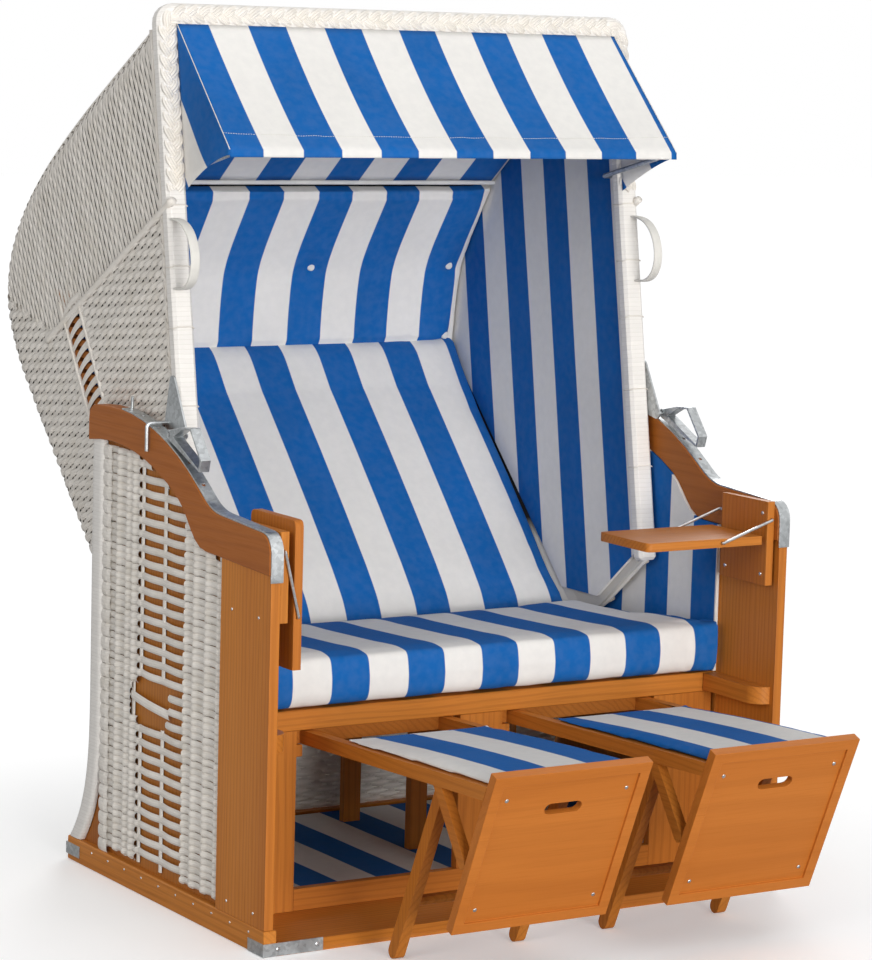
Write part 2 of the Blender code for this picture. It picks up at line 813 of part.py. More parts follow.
def build_band(name, side):
    offset = GAP + BAND_THICK / 2
    front = [(-offset, ARM_FRONT_LOW - BAND_LAP)]
    path = joined(front, band_path(offset, BAND_END_ANGLE))
    outer = side * (SIDE_X + ARM_OVERHANG / 2)
    inner = outer - side * BAND_WIDTH
    pin_x = side * (SIDE_X - BAND_CENTRE_IN)
    pin_low = round_pivot(PIN_ANGLE, ARM_RADIUS + GAP + BAND_THICK / 3)
    pin_top = round_pivot(PIN_ANGLE, ARM_RADIUS + PIN_HEIGHT)
    pin = cylinder(at(pin_x, *pin_low), at(pin_x, *pin_top), PIN_RADIUS)
    holes = []
    for number in range(BAND_HOLE_COUNT):
        angle = BAND_HOLE_FIRST + BAND_HOLE_STEP * (number + 1)
        low = round_pivot(angle, ARM_RADIUS - OVERRUN)
        top = round_pivot(angle, ARM_RADIUS + OVERRUN)
        holes.append(cylinder(at(pin_x, *low), at(pin_x, *top), BAND_HOLE, 8))
    add("armrest_band_" + name, [strip(path, BAND_THICK, inner, outer), pin], "galvanised", cutters=holes)


def build_skin(name, side):
    outline = side_outline(BOARD_DEPTH + GAP, RAIL_HEIGHT + GAP)
    holes = slot_outlines() + [hold_outline()]
    low, high = sorted((side * (SIDE_X - SKIN_THICK), side * SIDE_X))
    add("wicker_side_" + name, panel(outline, holes, low, high, across), "wicker")


def build_wall(name, side):
    outline = side_outline(BOARD_DEPTH + GAP, RAIL_HEIGHT + GAP)
    wall = slab(outline, side * WALL_IN, side * WALL_OUT)
    inner_end = side * (SHELL_X - SHELL_WALL - STUD_PROUD)
    stud = cylinder(at(side * (WALL_IN + WALL_THICK / 2), PIVOT_D, PIVOT_Z), at(inner_end, PIVOT_D, PIVOT_Z),
                    STUD_RADIUS, 16)
    add("inner_wall_" + name, [wall, stud], "stained_wood")


def build_rear():
    outer = rear_chain(RAIL_HEIGHT + GAP, REAR_TOP - GAP)
    inner = shifted(outer, [-REAR_THICK] * len(outer))
    inner = [(d, max(z, RAIL_HEIGHT + GAP)) for d, z in inner]
    add("wicker_rear", slab(outer + inner[::-1], -LINING_OUT, LINING_OUT), "wicker")
    back = BASE_DEPTH + FOOT_REACH
    add("bottom_rail_rear", block(-BETWEEN, BETWEEN, back - RAIL_THICK, back, 0.0, RAIL_HEIGHT), "stained_wood")


def build_floor():
    plank = [(0.0, 0.0), (PLANK_BACK, 0.0), (PLANK_BACK, PLANK_TOP), (PLANK_ROUND_D, PLANK_TOP),
             (0.0, PLANK_TOP - PLANK_ROUND_Z)]
    add("front_plank", slab(plank, -BETWEEN, BETWEEN), "stained_wood")
    post_in = runner_outer_out()
    sill = block(-post_in + GAP, post_in - GAP, POST_FRONT, POST_FRONT + POST_THICK, PLANK_TOP + GAP, SILL_TOP)
    add("front_sill", sill, "stained_wood")
    rear_in = BASE_DEPTH + FOOT_REACH - RAIL_THICK - GAP
    joist = block(-JOIST_HALF, JOIST_HALF, PLANK_BACK + GAP, rear_in, 0.0, JOIST_TOP)
    add("centre_joist", joist, "stained_wood")
    floor = block(-BETWEEN, BETWEEN, PLANK_BACK + GAP, FLOOR_BACK, JOIST_TOP + GAP, JOIST_TOP + GAP + FLOOR_THICK)
    add("floor_board", floor, "striped_cloth")


def runner_outer_in():
    """Inner face of the outer runner: beside the footrest's outer rail."""
    return REST_OUTER + LEG_GAP


def runner_outer_out():
    return REST_OUTER + LEG_GAP + RUNNER_WIDTH


def runner_outline():
    """A runner whose top slopes down to the back as the footrest slides, level with the footrest's rear bar."""
    top = rest_under(REST_BACK - REST_BAR_DEPTH) - GAP
    front = POST_FRONT
    slope = math.tan(math.radians(SLIDE_ANGLE))
    start = top + (REST_BACK - REST_BAR_DEPTH - front) * slope
    end = start - (RUNNER_BACK - front) * slope
    return [(front, start - RUNNER_HEIGHT), (RUNNER_BACK, end - RUNNER_HEIGHT), (RUNNER_BACK, end), (front, start)]


def runner_middle(d):
    """Height of the runner's middle line at a depth."""
    front, back = runner_outline()[0], runner_outline()[1]
    return front[1] + (back[1] - front[1]) * (d - front[0]) / (back[0] - front[0]) + RUNNER_HEIGHT / 2


def rest_under(d):
    """Height of the footrest rails' underside at a depth."""
    return REST_RAIL_Z - REST_SLOPE * (d - REST_RAIL_D)


def build_posts():
    low = PLANK_TOP + GAP
    runner_in = runner_outer_in()
    floor_top = JOIST_TOP + GAP + FLOOR_THICK + GAP
    for name, side in (("left", -1), ("right", 1)):
        post = block(side * runner_outer_out(), side * BETWEEN, POST_FRONT, POST_FRONT + POST_THICK, low, POST_TOP)
        runner = slab(runner_outline(), side * runner_in, side * (runner_outer_out() + OVERRUN / 4))
        rear = block(side * runner_in, side * runner_outer_out(), REAR_POST_D, REAR_POST_D + POST_THICK,
                     floor_top, runner_middle(REAR_POST_D))
        add("seat_post_" + name, [post, runner, rear], "stained_wood")
    half = REST_INNER - LEG_GAP
    post = block(-CENTRE_POST_HALF, CENTRE_POST_HALF, POST_FRONT, POST_FRONT + POST_THICK, SILL_TOP + GAP, POST_TOP)
    runner = slab(runner_outline(), -half, half)
    posts = [block(-INNER_POST_HALF, INNER_POST_HALF, d, d + POST_THICK, floor_top, runner_middle(d))
             for d in (INNER_POST_D, REAR_POST_D)]
    add("centre_frame", [post, runner] + posts, "stained_wood")


def build_seat():
    rail = block(-LINING_OUT, LINING_OUT, SEAT_RAIL_FRONT, SEAT_RAIL_BACK, POST_TOP + GAP, SEAT_RAIL_TOP)
    add("seat_rail", rail, "stained_wood", rounding=EDGE_ROUND / 2)
    low = BOARD_TOP - SEAT_BOARD_THICK
    board = block(-BOARD_HALF, BOARD_HALF, SEAT_RAIL_BACK + GAP, BOARD_BACK, low, BOARD_TOP)
    batten = block(-LINING_OUT, LINING_OUT, BATTEN_FRONT, BATTEN_FRONT + BATTEN_DEPTH, BATTEN_LOW,
                   low + SEAT_BOARD_THICK / 4)
    add("seat_board", [board, batten], "stained_wood")
    build_seat_cushion()
    for name, side in (("left", -1), ("right", 1)):
        outer = SIDE_X - BOARD_THICK - GAP
        outline = [(outer, BOARD_DEPTH), (outer - CLEAT_WIDTH, BOARD_DEPTH)]
        radius = CLEAT_WIDTH
        outline += arc((outer, CLEAT_FRONT + radius), radius, 180, 270, ARC_STEPS)
        outline = [(side * x, d) for x, d in outline]
        shape = panel(outline, (), CLEAT_LOW, CLEAT_LOW + CLEAT_HEIGHT, level)
        add("side_cleat_" + name, shape, "stained_wood")


def build_seat_cushion():
    low = SEAT_RAIL_TOP + 2 * GAP
    front, back = CUSHION_FRONT, CUSHION_BACK
    tall, short = CUSHION_FRONT_HEIGHT, CUSHION_BACK_HEIGHT
    span = back - front
    share_chain = ((1.0, 0.0), (0.03, 0.0), (0.004, 0.16), (-0.006, 0.5), (0.006, 0.86), (0.035, 1.0))
    section = [(front + span * u, low + tall * v) for u, v in share_chain]
    for share in (0.15, 0.3, 0.5, 0.7, 0.85, 0.965):
        section.append((front + span * share, low + tall + (short - tall) * share))
    section.append((back, low + short * 0.8))
    swells = [0, 0, 0, 0.3, 0.4, 0.5, 0.8, 1, 1, 1, 0.8, 0.5, 0]
    draws = [0, 0, 0.6, 1, 1, 1, 1, 1, 1, 1, 1, 1, 0.6]
    section, swells, draws = section[::-1], swells[::-1], draws[::-1]
    weights = [(-draw, -swell) for draw, swell in zip(draws, swells)]

    def squeeze(x, point):
        if x <= CUSHION_BACK_HALF:
            return point
        return (front + (point[0] - front) * (CUSHION_STEP_D - front) / span, point[1])

    rings = []
    places = edge_stations(CUSHION_FRONT_HALF, CUSHION_EDGE, 3, (-0.6, -0.3, 0.0, 0.3, 0.6))
    steps = [side * (CUSHION_BACK_HALF + shift) for side in (-1, 1) for shift in (0.0, GAP * 2)]
    places = sorted(places + [(x, 0.0) for x in steps])
    for x, inset in places:
        swell = CUSHION_CROWN * (1 - (x / CUSHION_FRONT_HALF) ** 4)
        distances = [inset * draw - swell * rise for draw, rise in weights]
        ring = shifted(section, distances, closed=True)
        rings.append([at(x, *squeeze(abs(x), point)) for point in ring])
    add("seat_cushion", loft(rings, 50), "striped_cloth")


def rim_point(u, v, w):
    """Across, along the rim's front face from its foot, and in from that face."""
    d = RIM_LOW_D + v * math.sin(RIM_LEAN) + w * math.cos(RIM_LEAN)
    z = RIM_LOW_Z + v * math.cos(RIM_LEAN) - w * math.sin(RIM_LEAN)
    return at(u, d, z)


def hood_front(inset):
    """Two points, low and high, on the plane that lies this far behind the rim's front face."""
    shift = (inset * math.cos(RIM_LEAN), -inset * math.sin(RIM_LEAN))
    return ((RIM_LOW_D + shift[0], RIM_LOW_Z + shift[1]), (RIM_TOP_D + shift[0], RIM_TOP_Z + shift[1]))


def hood_chain(depth):
    """The hood's profile from the roof's front to the back's lower end, lying in by a depth."""
    back = (HOOD_BACK_D, HOOD_BACK_Z)
    chain = joined([ROOF_START], bend(ROOF_KNEE, back, ROOF_BEND_SHARES, HOOD_STEPS),
                   bend(back, HOOD_HIP, HIP_BEND_SHARES, ARC_STEPS), [HOOD_TAIL])
    return shifted(chain, [-depth] * len(chain))


def rounded_section(depth, radius_inset, front_inset, tail):
    """The hood's side outline with the roof and back moved in."""
    chain = hood_chain(depth + radius_inset)
    low, high = hood_front(front_inset)
    start = crossing(chain[0], chain[1], low, high)
    return [start] + chain[1:] + tail


def hood_solid(depth, half, radius, front_inset, tail):
    """A block with the hood's profile and rounded side edges."""
    rings = []
    for x, inset in edge_stations(half, radius, CORNER_STEPS):
        rings.append([at(x, *p) for p in rounded_section(depth, inset, front_inset, tail)])
    return loft(rings, 40)


def hollow_solid(depth, half, radius, back_chain_out=False):
    """What the hood leaves free inside, run out past its front and its lower edge."""
    rings = []
    lead = RIM_LOW_D - OVERRUN * 5
    for x, inset in edge_stations(half, radius, CORNER_STEPS):
        chain = hood_chain(depth + inset)
        if back_chain_out:
            chain = lining_gap_chain(chain)
        start = crossing(chain[0], chain[1], (lead, 0.0), (lead, RIM_TOP_Z))
        tail_d = BASE_DEPTH
        drop = PIVOT_Z - TONGUE_RADIUS * 2
        tail = [(tail_d, PIVOT_Z + TONGUE_RADIUS / 2), (tail_d, drop), (lead, drop)]
        rings.append([at(x, *p) for p in [start] + chain[1:] + tail])
    return loft(rings, 40)


def lining_gap_chain(chain):
    """The lining's roof ends at the rod: behind it the hollow runs out past the hood."""
    moved = []
    behind = False
    for d, z in chain:
        behind = behind or d > ROD_D
        moved.append((d + SHELL_CORNER, z + SHELL_CORNER / 2) if behind else (d, z))
    return moved


def build_hood(hood):
    front = RIM_DEPTH + GAP
    low = hood_front(front)[0]
    outer = hood_solid(0.0, SHELL_X, SHELL_CORNER, front, [TONGUE_FRONT[1], low])
    tongues = []
    root = [(TONGUE_FRONT[1][0] + OVERRUN, TONGUE_FRONT[1][1] + OVERRUN), TONGUE_ROOT[0], TONGUE_ROOT[1]]
    outline = root + arc((PIVOT_D, PIVOT_Z), TONGUE_RADIUS, 38, -190, 10) + [TONGUE_FRONT[0]]
    for side in (-1, 1):
        tongues.append(slab(outline, side * (SHELL_X - SHELL_WALL + GAP), side * (SHELL_X - GAP)))
    inner = hollow_solid(SHELL_WALL, SHELL_X - SHELL_WALL, SHELL_CORNER - SHELL_WALL)
    bore = cylinder(at(-BASE_WIDTH, PIVOT_D, PIVOT_Z), at(BASE_WIDTH, PIVOT_D, PIVOT_Z),
                    STUD_RADIUS + STUD_CLEAR, 16)
    hood_shell = add("hood_shell", outer, "wicker", hood, cutters=[inner], solver="MANIFOLD")
    change(hood_shell, "UNION", tongues, "MANIFOLD")
    change(hood_shell, "DIFFERENCE", [bore] + vents(), "MANIFOLD")
    build_rim(hood)
    build_hood_lining(hood)
    build_back(hood)


def vents():
    """Short slots in each side of the hood, in a slanting column."""
    cutters = []
    for side in (-1, 1):
        for number in range(VENT_COUNT):
            share = number / (VENT_COUNT - 1)
            d = VENT_LOW[0] + (VENT_TOP[0] - VENT_LOW[0]) * share
            z = VENT_LOW[1] + (VENT_TOP[1] - VENT_LOW[1]) * share
            half = VENT_LENGTH / 2
            x_in = side * (SHELL_X - SHELL_WALL - GAP * 3)
            x_out = side * (SHELL_X + OVERRUN)
            cutters.append(block(x_in, x_out, d - half, d + half, z - VENT_HEIGHT / 2, z + VENT_HEIGHT / 2))
    return cutters


def build_rim(hood):
    length = math.dist((RIM_LOW_D, RIM_LOW_Z), (RIM_TOP_D, RIM_TOP_Z))
    half = RIM_X
    inner = RIM_X - RIM_WIDTH
    ceiling = length - RIM_HEAD
    right = arc((half - RIM_CORNER, length - RIM_CORNER), RIM_CORNER, 0, 90, 5)
    outline = [(half, 0.0)] + right + [(-u, v) for u, v in reversed(right)] + [(-half, 0.0), (-inner, 0.0)]
    small = RIM_CORNER / 2
    inner_left = arc((-inner + small, ceiling - small), small, 180, 90, 4)
    outline += inner_left + [(-u, v) for u, v in reversed(inner_left)] + [(inner, 0.0)]
    rim = panel(outline, (), 0.0, RIM_DEPTH, rim_point)
    add("hood_rim", rim, "wicker", hood, rounding=RIM_ROUND)
    for name, side in (("left", -1), ("right", 1)):
        build_loop(name, side, hood)
        build_hook(name, side, hood)


def rim_front_d(z):
    return RIM_LOW_D + (z - RIM_LOW_Z) * math.tan(RIM_LEAN)


def build_loop(name, side, hood):
    """A webbing loop that stands out from the rim's front face."""
    centre_z = (LOOP_LOW_Z + LOOP_TOP_Z) / 2
    half = (LOOP_TOP_Z - LOOP_LOW_Z) / 2
    path = []
    for i in range(LOOP_STEPS + 1):
        turn = math.pi * i / LOOP_STEPS - math.pi / 2
        z = centre_z + half * math.sin(turn)
        d = rim_front_d(z) - LOOP_REACH * max(0.0, math.cos(turn)) ** 0.8 - LOOP_THICK / 2
        path.append((d, z))
    foot = [(rim_front_d(z) - GAP * 2, z) for z in (LOOP_LOW_Z, LOOP_TOP_Z)]
    path = [foot[0]] + path[1:-1] + [foot[1]]
    outer = side * (RIM_X - LOOP_OUT)
    add("grab_loop_" + name, strip(path, LOOP_THICK, outer, outer - side * LOOP_WIDTH), "white_cloth", hood)


def from_lever(back, up):
    """A place given from the lever's pin."""
    return LEVER_D + back, LEVER_Z + up


def build_hook(name, side, hood):
    """A plate on the rim's side with the lever's pin and the bent rod that drops beside the armrest."""
    rod_place = round_pivot(ROD_ANGLE, ARM_RADIUS + ROD_RISE)
    circles = [((LEVER_D, LEVER_Z), HOOK_LOBE), (rod_place, HOOK_ROUND), (from_lever(*HOOK_TOP_FROM_LEVER), HOOK_ROUND)]
    inner = RIM_X + HOOK_GAP
    outer = inner + HOOK_THICK
    plate = slab(hull(circles), side * inner, side * outer)
    pin_end = LEVER_IN + LEVER_WIDTH + GAP
    pin = cylinder(at(side * (inner + GAP), LEVER_D, LEVER_Z), at(side * pin_end, LEVER_D, LEVER_Z), LEVER_PIN)
    points = [at(side * (inner + GAP), *rod_place), at(side * ROD_OUT, *rod_place),
              at(side * ROD_OUT, rod_place[0], LEVER_Z - ROD_FOOT_LOW)]
    bar = rod(points, HOOK_ROD, HOOK_ROUND)
    add("hood_hook_" + name, [plate, pin, bar], "galvanised", hood)
    place = at(side * LEVER_IN, LEVER_D, LEVER_Z)
    empty = joint_empty("lever_axis_" + name, place, hood)
    outline = [p for p in arc((LEVER_D, LEVER_Z), LEVER_EYE, -70, 110, 8)]
    outline = outline + [from_lever(*p) for p in LEVER_LOOP]
    hole = [from_lever(*p) for p in LEVER_HOLE]
    eye = around((LEVER_D, LEVER_Z), LEVER_PIN + LEVER_CLEAR)
    low, high = sorted((side * LEVER_IN, side * (LEVER_IN + LEVER_WIDTH)))
    add("lever_" + name, panel(outline, (hole, eye), low, high, across), "galvanised", empty)


def build_hood_lining(hood):
    """Striped roof and sides in one body, its roof ending at the rod."""
    front = RIM_DEPTH + GAP
    low, high = hood_front(front)
    chin = (low[0] + (high[0] - low[0]) * LINING_CHIN / RIM_WIDTH / 4, low[1] + LINING_CHIN)
    chin = crossing((0.0, chin[1]), (BASE_DEPTH, chin[1]), low, high)
    heel = (TONGUE_FRONT[1][0], TONGUE_FRONT[1][1] + LINING_CHIN)
    tail = [heel, chin]
    depth = SHELL_WALL + GAP
    outer = hood_solid(depth, HOOD_LINING_OUT, SHELL_CORNER - depth, front, tail)
    thick = HOOD_LINING_THICK
    inner = hollow_solid(depth + thick, HOOD_LINING_IN, SHELL_CORNER - depth - thick, back_chain_out=True)
    shift = LINING_CHIN * 3 / 2
    behind = [heel, (BACK_LOW[0] + shift, heel[1]), (BACK_TOP[0] + shift, BACK_TOP[1]), (HOOD_BACK_D, BACK_TOP[1]),
              (HOOD_BACK_D, 0.0), (heel[0], 0.0)]
    foot = slab(behind, -BASE_WIDTH, BASE_WIDTH)
    add("hood_lining", outer, "striped_cloth", hood, cutters=[inner, foot], solver="MANIFOLD")


def back_line(d):
    """Height of the shell's inner face behind the back cushion, just clear of it."""
    slack = SHELL_WALL * math.sqrt(2) + 4 * GAP
    return d - (HOOD_HIP[0] - HOOD_HIP[1]) + slack


def build_back(hood):
    half = HOOD_LINING_IN - GAP
    low_back_d = (BACK_LOW[0] + BACK_LOW[1] + (HOOD_HIP[0] - HOOD_HIP[1])
                  - SHELL_WALL * math.sqrt(2) - 4 * GAP) / 2
    top_back_d = (BACK_TOP[0] + BACK_TOP[1] + (HOOD_HIP[0] - HOOD_HIP[1])
                  - SHELL_WALL * math.sqrt(2) - 4 * GAP) / 2
    low_back = (low_back_d, back_line(low_back_d))
    top_back = (top_back_d - BACK_HIP_CLEAR, back_line(top_back_d) + BACK_HIP_CLEAR)
    section = [low_back, top_back]
    weights = [(0, 0), (0, 0)]
    shares = (0.0, 0.02, 0.08, 0.2, 0.4, 0.6, 0.8, 0.92, 0.98, 1.0)
    drops = (0.012, 0.004, 0.0012, 0.0006, 0.0001, 0.0001, 0.0006, 0.0012, 0.004, 0.010)
    length = math.dist(BACK_LOW, BACK_TOP)
    normal = ((BACK_TOP[1] - BACK_LOW[1]) / length, -(BACK_TOP[0] - BACK_LOW[0]) / length)
    for share, drop in reversed(list(zip(shares, drops))):
        d = BACK_LOW[0] + (BACK_TOP[0] - BACK_LOW[0]) * share + normal[0] * drop
        z = BACK_LOW[1] + (BACK_TOP[1] - BACK_LOW[1]) * share + normal[1] * drop
        section.append((d, z))
        weights.append((1, min(1.0, 4 * share, 4 * (1 - share))))
    shape = pillow(section, weights_for(section, weights), half, BACK_EDGE, BACK_CROWN, corner=corner_inset)
    add("back_cushion", shape, "striped_cloth", hood)
    neck = bend(NECK_LOW, NECK_KINK, ((0.1, 0.35), (0.4, 0.7)), 4)
    neck = joined(neck, bend(NECK_KINK, NECK_TOP, ((0.12, 0.25), (0.6, 0.62)), 5))
    behind = shifted(neck, [-NECK_THICK] * len(neck))
    section = neck + behind[::-1]
    weights = [(1, 1)] * len(neck) + [(0, 0)] * len(behind)
    add("neck_cushion", pillow(section, weights_for(section, weights), half, NECK_EDGE, NECK_CROWN),
        "striped_cloth", hood)
    bar = cylinder(at(-half, ROD_D, ROD_Z), at(half, ROD_D, ROD_Z), ROD_RADIUS)
    add("lining_rod", bar, "white_cloth", hood)


def area_of(points):
    return sum(a[0] * b[1] - b[0] * a[1] for a, b in zip(points, points[1:] + points[:1])) / 2


def weights_for(section, weights):
    """Signs that make a positive inset move inwards, whichever way the section runs."""
    sign = 1 if area_of(section) > 0 else -1
    return [(sign * draw, sign * rise) for draw, rise in weights]


def build_awning(hood):
    empty = joint_empty("awning_axis", at(0.0, BOW_PIVOT_D, BOW_PIVOT_Z), hood)
    ends = HOOD_LINING_IN - GAP
    points = [at(-ends, BOW_PIVOT_D, BOW_PIVOT_Z), at(-BOW_HALF, BOW_PIVOT_D, BOW_PIVOT_Z),
              at(-BOW_HALF, BOW_BAR_D, BOW_BAR_Z)]
    points += [(-x, y, z) for x, y, z in reversed(points)]
    add("awning_bow", bow_tube(points), "galvanised", empty)
    add("awning_cloth", cloth_mesh(), "striped_cloth", empty)


def bow_tube(points):
    """The bow: short bent ends, arms and the front bar, with tight and wide corners."""
    points = [Vector(p) for p in points]
    radii = (BOW_RADIUS * 1.6, BOW_BEND, BOW_BEND, BOW_RADIUS * 1.6)
    path = [points[0]]
    for i, radius in enumerate(radii):
        before, corner, after = points[i], points[i + 1], points[i + 2]
        first = corner + (before - corner).normalized() * radius
        last = corner + (after - corner).normalized() * radius
        for k in range(5):
            t = k / 4
            path.append(first * (1 - t) ** 2 + corner * (2 * t * (1 - t)) + last * t * t)
    path.append(points[-1])
    return rod_along(path, BOW_RADIUS)


def rod_along(path, radius, sides=8):
    heading = (path[1] - path[0]).normalized()
    side = heading.orthogonal().normalized()
    rings = []
    for i, point in enumerate(path):
        ahead = (path[min(i + 1, len(path) - 1)] - path[max(i - 1, 0)]).normalized()
        side = heading.rotation_difference(ahead) @ side
        heading = ahead
        other = heading.cross(side)
        turns = [math.tau * k / sides for k in range(sides)]
        rings.append([point + (side * math.cos(t) + other * math.sin(t)) * radius for t in turns])
    return loft(rings, 40)


def cloth_point(across_share, along, half_thick):
    """A point of the awning: along 0 at the hood, 1 over the bar; beyond the edges the wings hang down."""
    top_d = rim_front_d(CLOTH_TOP_Z) - CLOTH_THICK - CLOTH_GAP
    front_d = BOW_BAR_D - BOW_RADIUS - CLOTH_THICK
    d = top_d + (front_d - top_d) * along
    z = CLOTH_TOP_Z + (BOW_BAR_Z + BOW_RADIUS - CLOTH_TOP_Z) * along
    return d, z - CLOTH_SAG * 4 * along * (1 - along) * max(0.0, 1 - across_share ** 2)


def cloth_mesh():
    """One skin: a sagging main panel, a hem over the bar and a triangular wing at each side."""
    bm = bmesh.new()
    rows = []
    for row in range(CLOTH_STEPS + 2):
        along = min(1.0, row / CLOTH_STEPS)
        hem = CLOTH_HEM if row > CLOTH_STEPS else 0.0
        line = []
        for span in range(CLOTH_SPANS + 1):
            share = 2 * span / CLOTH_SPANS - 1
            d, z = cloth_point(share, along, 0)
            half = CLOTH_HALF + CLOTH_FLARE * along
            line.append((half * share, d - hem * 0.15, z - hem))
        rows.append(line)
    grid = [[bm.verts.new(at(*p)) for p in line] for line in rows]
    for a, b in zip(grid, grid[1:]):
        for i in range(CLOTH_SPANS):
            bm.faces.new((a[i], a[i + 1], b[i + 1], b[i]))
    for end in (0, CLOTH_SPANS):
        wing = []
        for row in range(CLOTH_STEPS + 2):
            x, d, z = rows[row][end]
            along = min(1.0, row / CLOTH_STEPS)
            wing_d = rim_front_d(WING_LOW_Z) - CLOTH_THICK - CLOTH_GAP
            low_d = wing_d + (d - wing_d) * along
            low_z = WING_LOW_Z + (BOW_BAR_Z - CLOTH_HEM - WING_LOW_Z) * along
            if row > CLOTH_STEPS:
                low_d, low_z = d, z - CLOTH_HEM / 3
            wing.append([(x, d, z), (x, (d + low_d) / 2, (z + low_z) / 2), (x, low_d, low_z)])
        made = [[grid[row][end]] + [bm.verts.new(at(*p)) for p in points[1:]] for row, points in enumerate(wing)]
        for a, b in zip(made[:-1], made[1:-1]):
            for i in range(2):
                bm.faces.new((a[i], a[i + 1], b[i + 1], b[i]))
    bmesh.ops.recalc_face_normals(bm, faces=bm.faces)
    bmesh.ops.solidify(bm, geom=bm.faces, thickness=CLOTH_THICK)
    return mesh_of(bm, 50)


def build_tables():
    for name, side in (("left", -1), ("right", 1)):
        plate_x = SIDE_X + ARM_OVERHANG - ARM_THICK - GAP
        inner = plate_x - PLATE_THICK
        plate = block(side * inner, side * plate_x, PLATE_FRONT, PLATE_BACK, PLATE_LOW, PLATE_TOP)
        wire_x = inner + WIRE_X_IN + WIRE_RADIUS
        bore = cylinder(at(side * wire_x, -OVERRUN, WIRE_Z), at(side * wire_x, BOARD_DEPTH, WIRE_Z),
                        WIRE_RADIUS + WIRE_CLEAR, 8)
        add("table_plate_" + name, plate, "stained_wood", cutters=[bore], rounding=0.0)
        build_leaf(name, side, inner, wire_x)


def build_leaf(name, side, plate_inner, wire_x):
    """The leaf and the wire that carries it: open on the right, folded down on the left."""
    opened = side > 0
    angle = math.radians(WIRE_OPEN_ANGLE if opened else WIRE_FOLDED_ANGLE)
    pin_x = wire_x - WIRE_LENGTH * math.cos(angle)
    pin_z = WIRE_Z - WIRE_LENGTH * math.sin(angle)
    open_pin_x = wire_x - WIRE_LENGTH * math.cos(math.radians(WIRE_OPEN_ANGLE))
    butt = plate_inner - LEAF_BUTT_GAP - open_pin_x
    wire_empty = joint_empty("table_wire_axis_" + name, at(side * wire_x, PLATE_FRONT, WIRE_Z))
    front_d = LEAF_FRONT - WIRE_SIDE_GAP - WIRE_RADIUS
    back_d = LEAF_BACK + WIRE_SIDE_GAP + WIRE_RADIUS
    points = [(pin_x, front_d + PIN_REACH, pin_z), (pin_x, front_d, pin_z), (wire_x, front_d, WIRE_Z),
              (wire_x, back_d, WIRE_Z), (pin_x, back_d, pin_z), (pin_x, back_d - PIN_REACH, pin_z)]
    wire = rod([at(side * x, d, z) for x, d, z in points], WIRE_RADIUS, WIRE_RADIUS)
    add("table_wire_" + name, wire, "galvanised", wire_empty)
    leaf_empty = joint_empty("table_leaf_axis_" + name, at(side * pin_x, LEAF_FRONT, pin_z), wire_empty)
    radius = LEAF_ROUND
    far = butt - LEAF_LENGTH
    outline = [(butt, LEAF_FRONT), (butt, LEAF_BACK)]
    outline += arc((far + radius, LEAF_BACK - radius), radius, 90, 180, 3)
    outline += arc((far + radius, LEAF_FRONT + radius), radius, 180, 270, 3)

    def place(u, v, w):
        if opened:
            return at(side * (pin_x + u), v, pin_z + w)
        return at(side * (pin_x + w), v, pin_z - u)

    leaf = panel(outline, (), -LEAF_THICK / 2, LEAF_THICK / 2, place)
    bores = []
    for start, end in ((LEAF_FRONT - OVERRUN, LEAF_FRONT + PIN_REACH), (LEAF_BACK - PIN_REACH, LEAF_BACK + OVERRUN)):
        bores.append(cylinder(at(side * pin_x, start, pin_z), at(side * pin_x, end, pin_z),
                              WIRE_RADIUS + WIRE_CLEAR, 8))
    add("table_leaf_" + name, leaf, "stained_wood", leaf_empty, cutters=bores)


def panel_face(share):
    """A point on the front face of a footrest's panel, 0 at its top and 1 at its foot."""
    return tuple(a + (b - a) * share for a, b in zip(PANEL_TOP, PANEL_LOW))


def panel_place(u, v, w):
    """Across, down the panel from its top, and in from its front face."""
    length = math.dist(PANEL_TOP, PANEL_LOW)
    down = ((PANEL_LOW[0] - PANEL_TOP[0]) / length, (PANEL_LOW[1] - PANEL_TOP[1]) / length)
    return at(u, PANEL_TOP[0] + down[0] * v - down[1] * w, PANEL_TOP[1] + down[1] * v + down[0] * w)


def panel_back_line():
    """Two points on the line just behind the panel's rear face."""
    length = math.dist(PANEL_TOP, PANEL_LOW)
    normal = ((PANEL_TOP[1] - PANEL_LOW[1]) / length, (PANEL_LOW[0] - PANEL_TOP[0]) / length)
    reach = PANEL_THICK + GAP
    return [(p[0] + normal[0] * reach, p[1] + normal[1] * reach) for p in (PANEL_LOW, PANEL_TOP)]


def bar_between(start, end, half, x_low, x_high, round_end=True):
    """A flat bar between two pivots, rounded about each."""
    return slab(hull([(start, half), (end, half)]), x_low, x_high)


def build_footrests():
    for name, side in (("left", -1), ("right", 1)):
        empty = joint_empty("footrest_slide_" + name, at(side * REST_MIDDLE, REST_BACK, rest_under(REST_BACK)))
        build_rest_frame(name, side, empty)
        build_rest_panel(name, side, empty)
        build_rest_pad(name, side, empty)
        build_rest_leg(name, side, empty)


def rail_outline(back):
    """A footrest rail from the panel's rear face to a depth."""
    corners = [(back, rest_under(back) + rise) for rise in (0.0, REST_RAIL_HEIGHT)]
    fronts = [crossing((PANEL_TOP[0], rest_under(PANEL_TOP[0]) + rise), (back, rest_under(back) + rise),
                       *panel_back_line()) for rise in (0.0, REST_RAIL_HEIGHT)]
    return [fronts[0], corners[0], corners[1], fronts[1]]


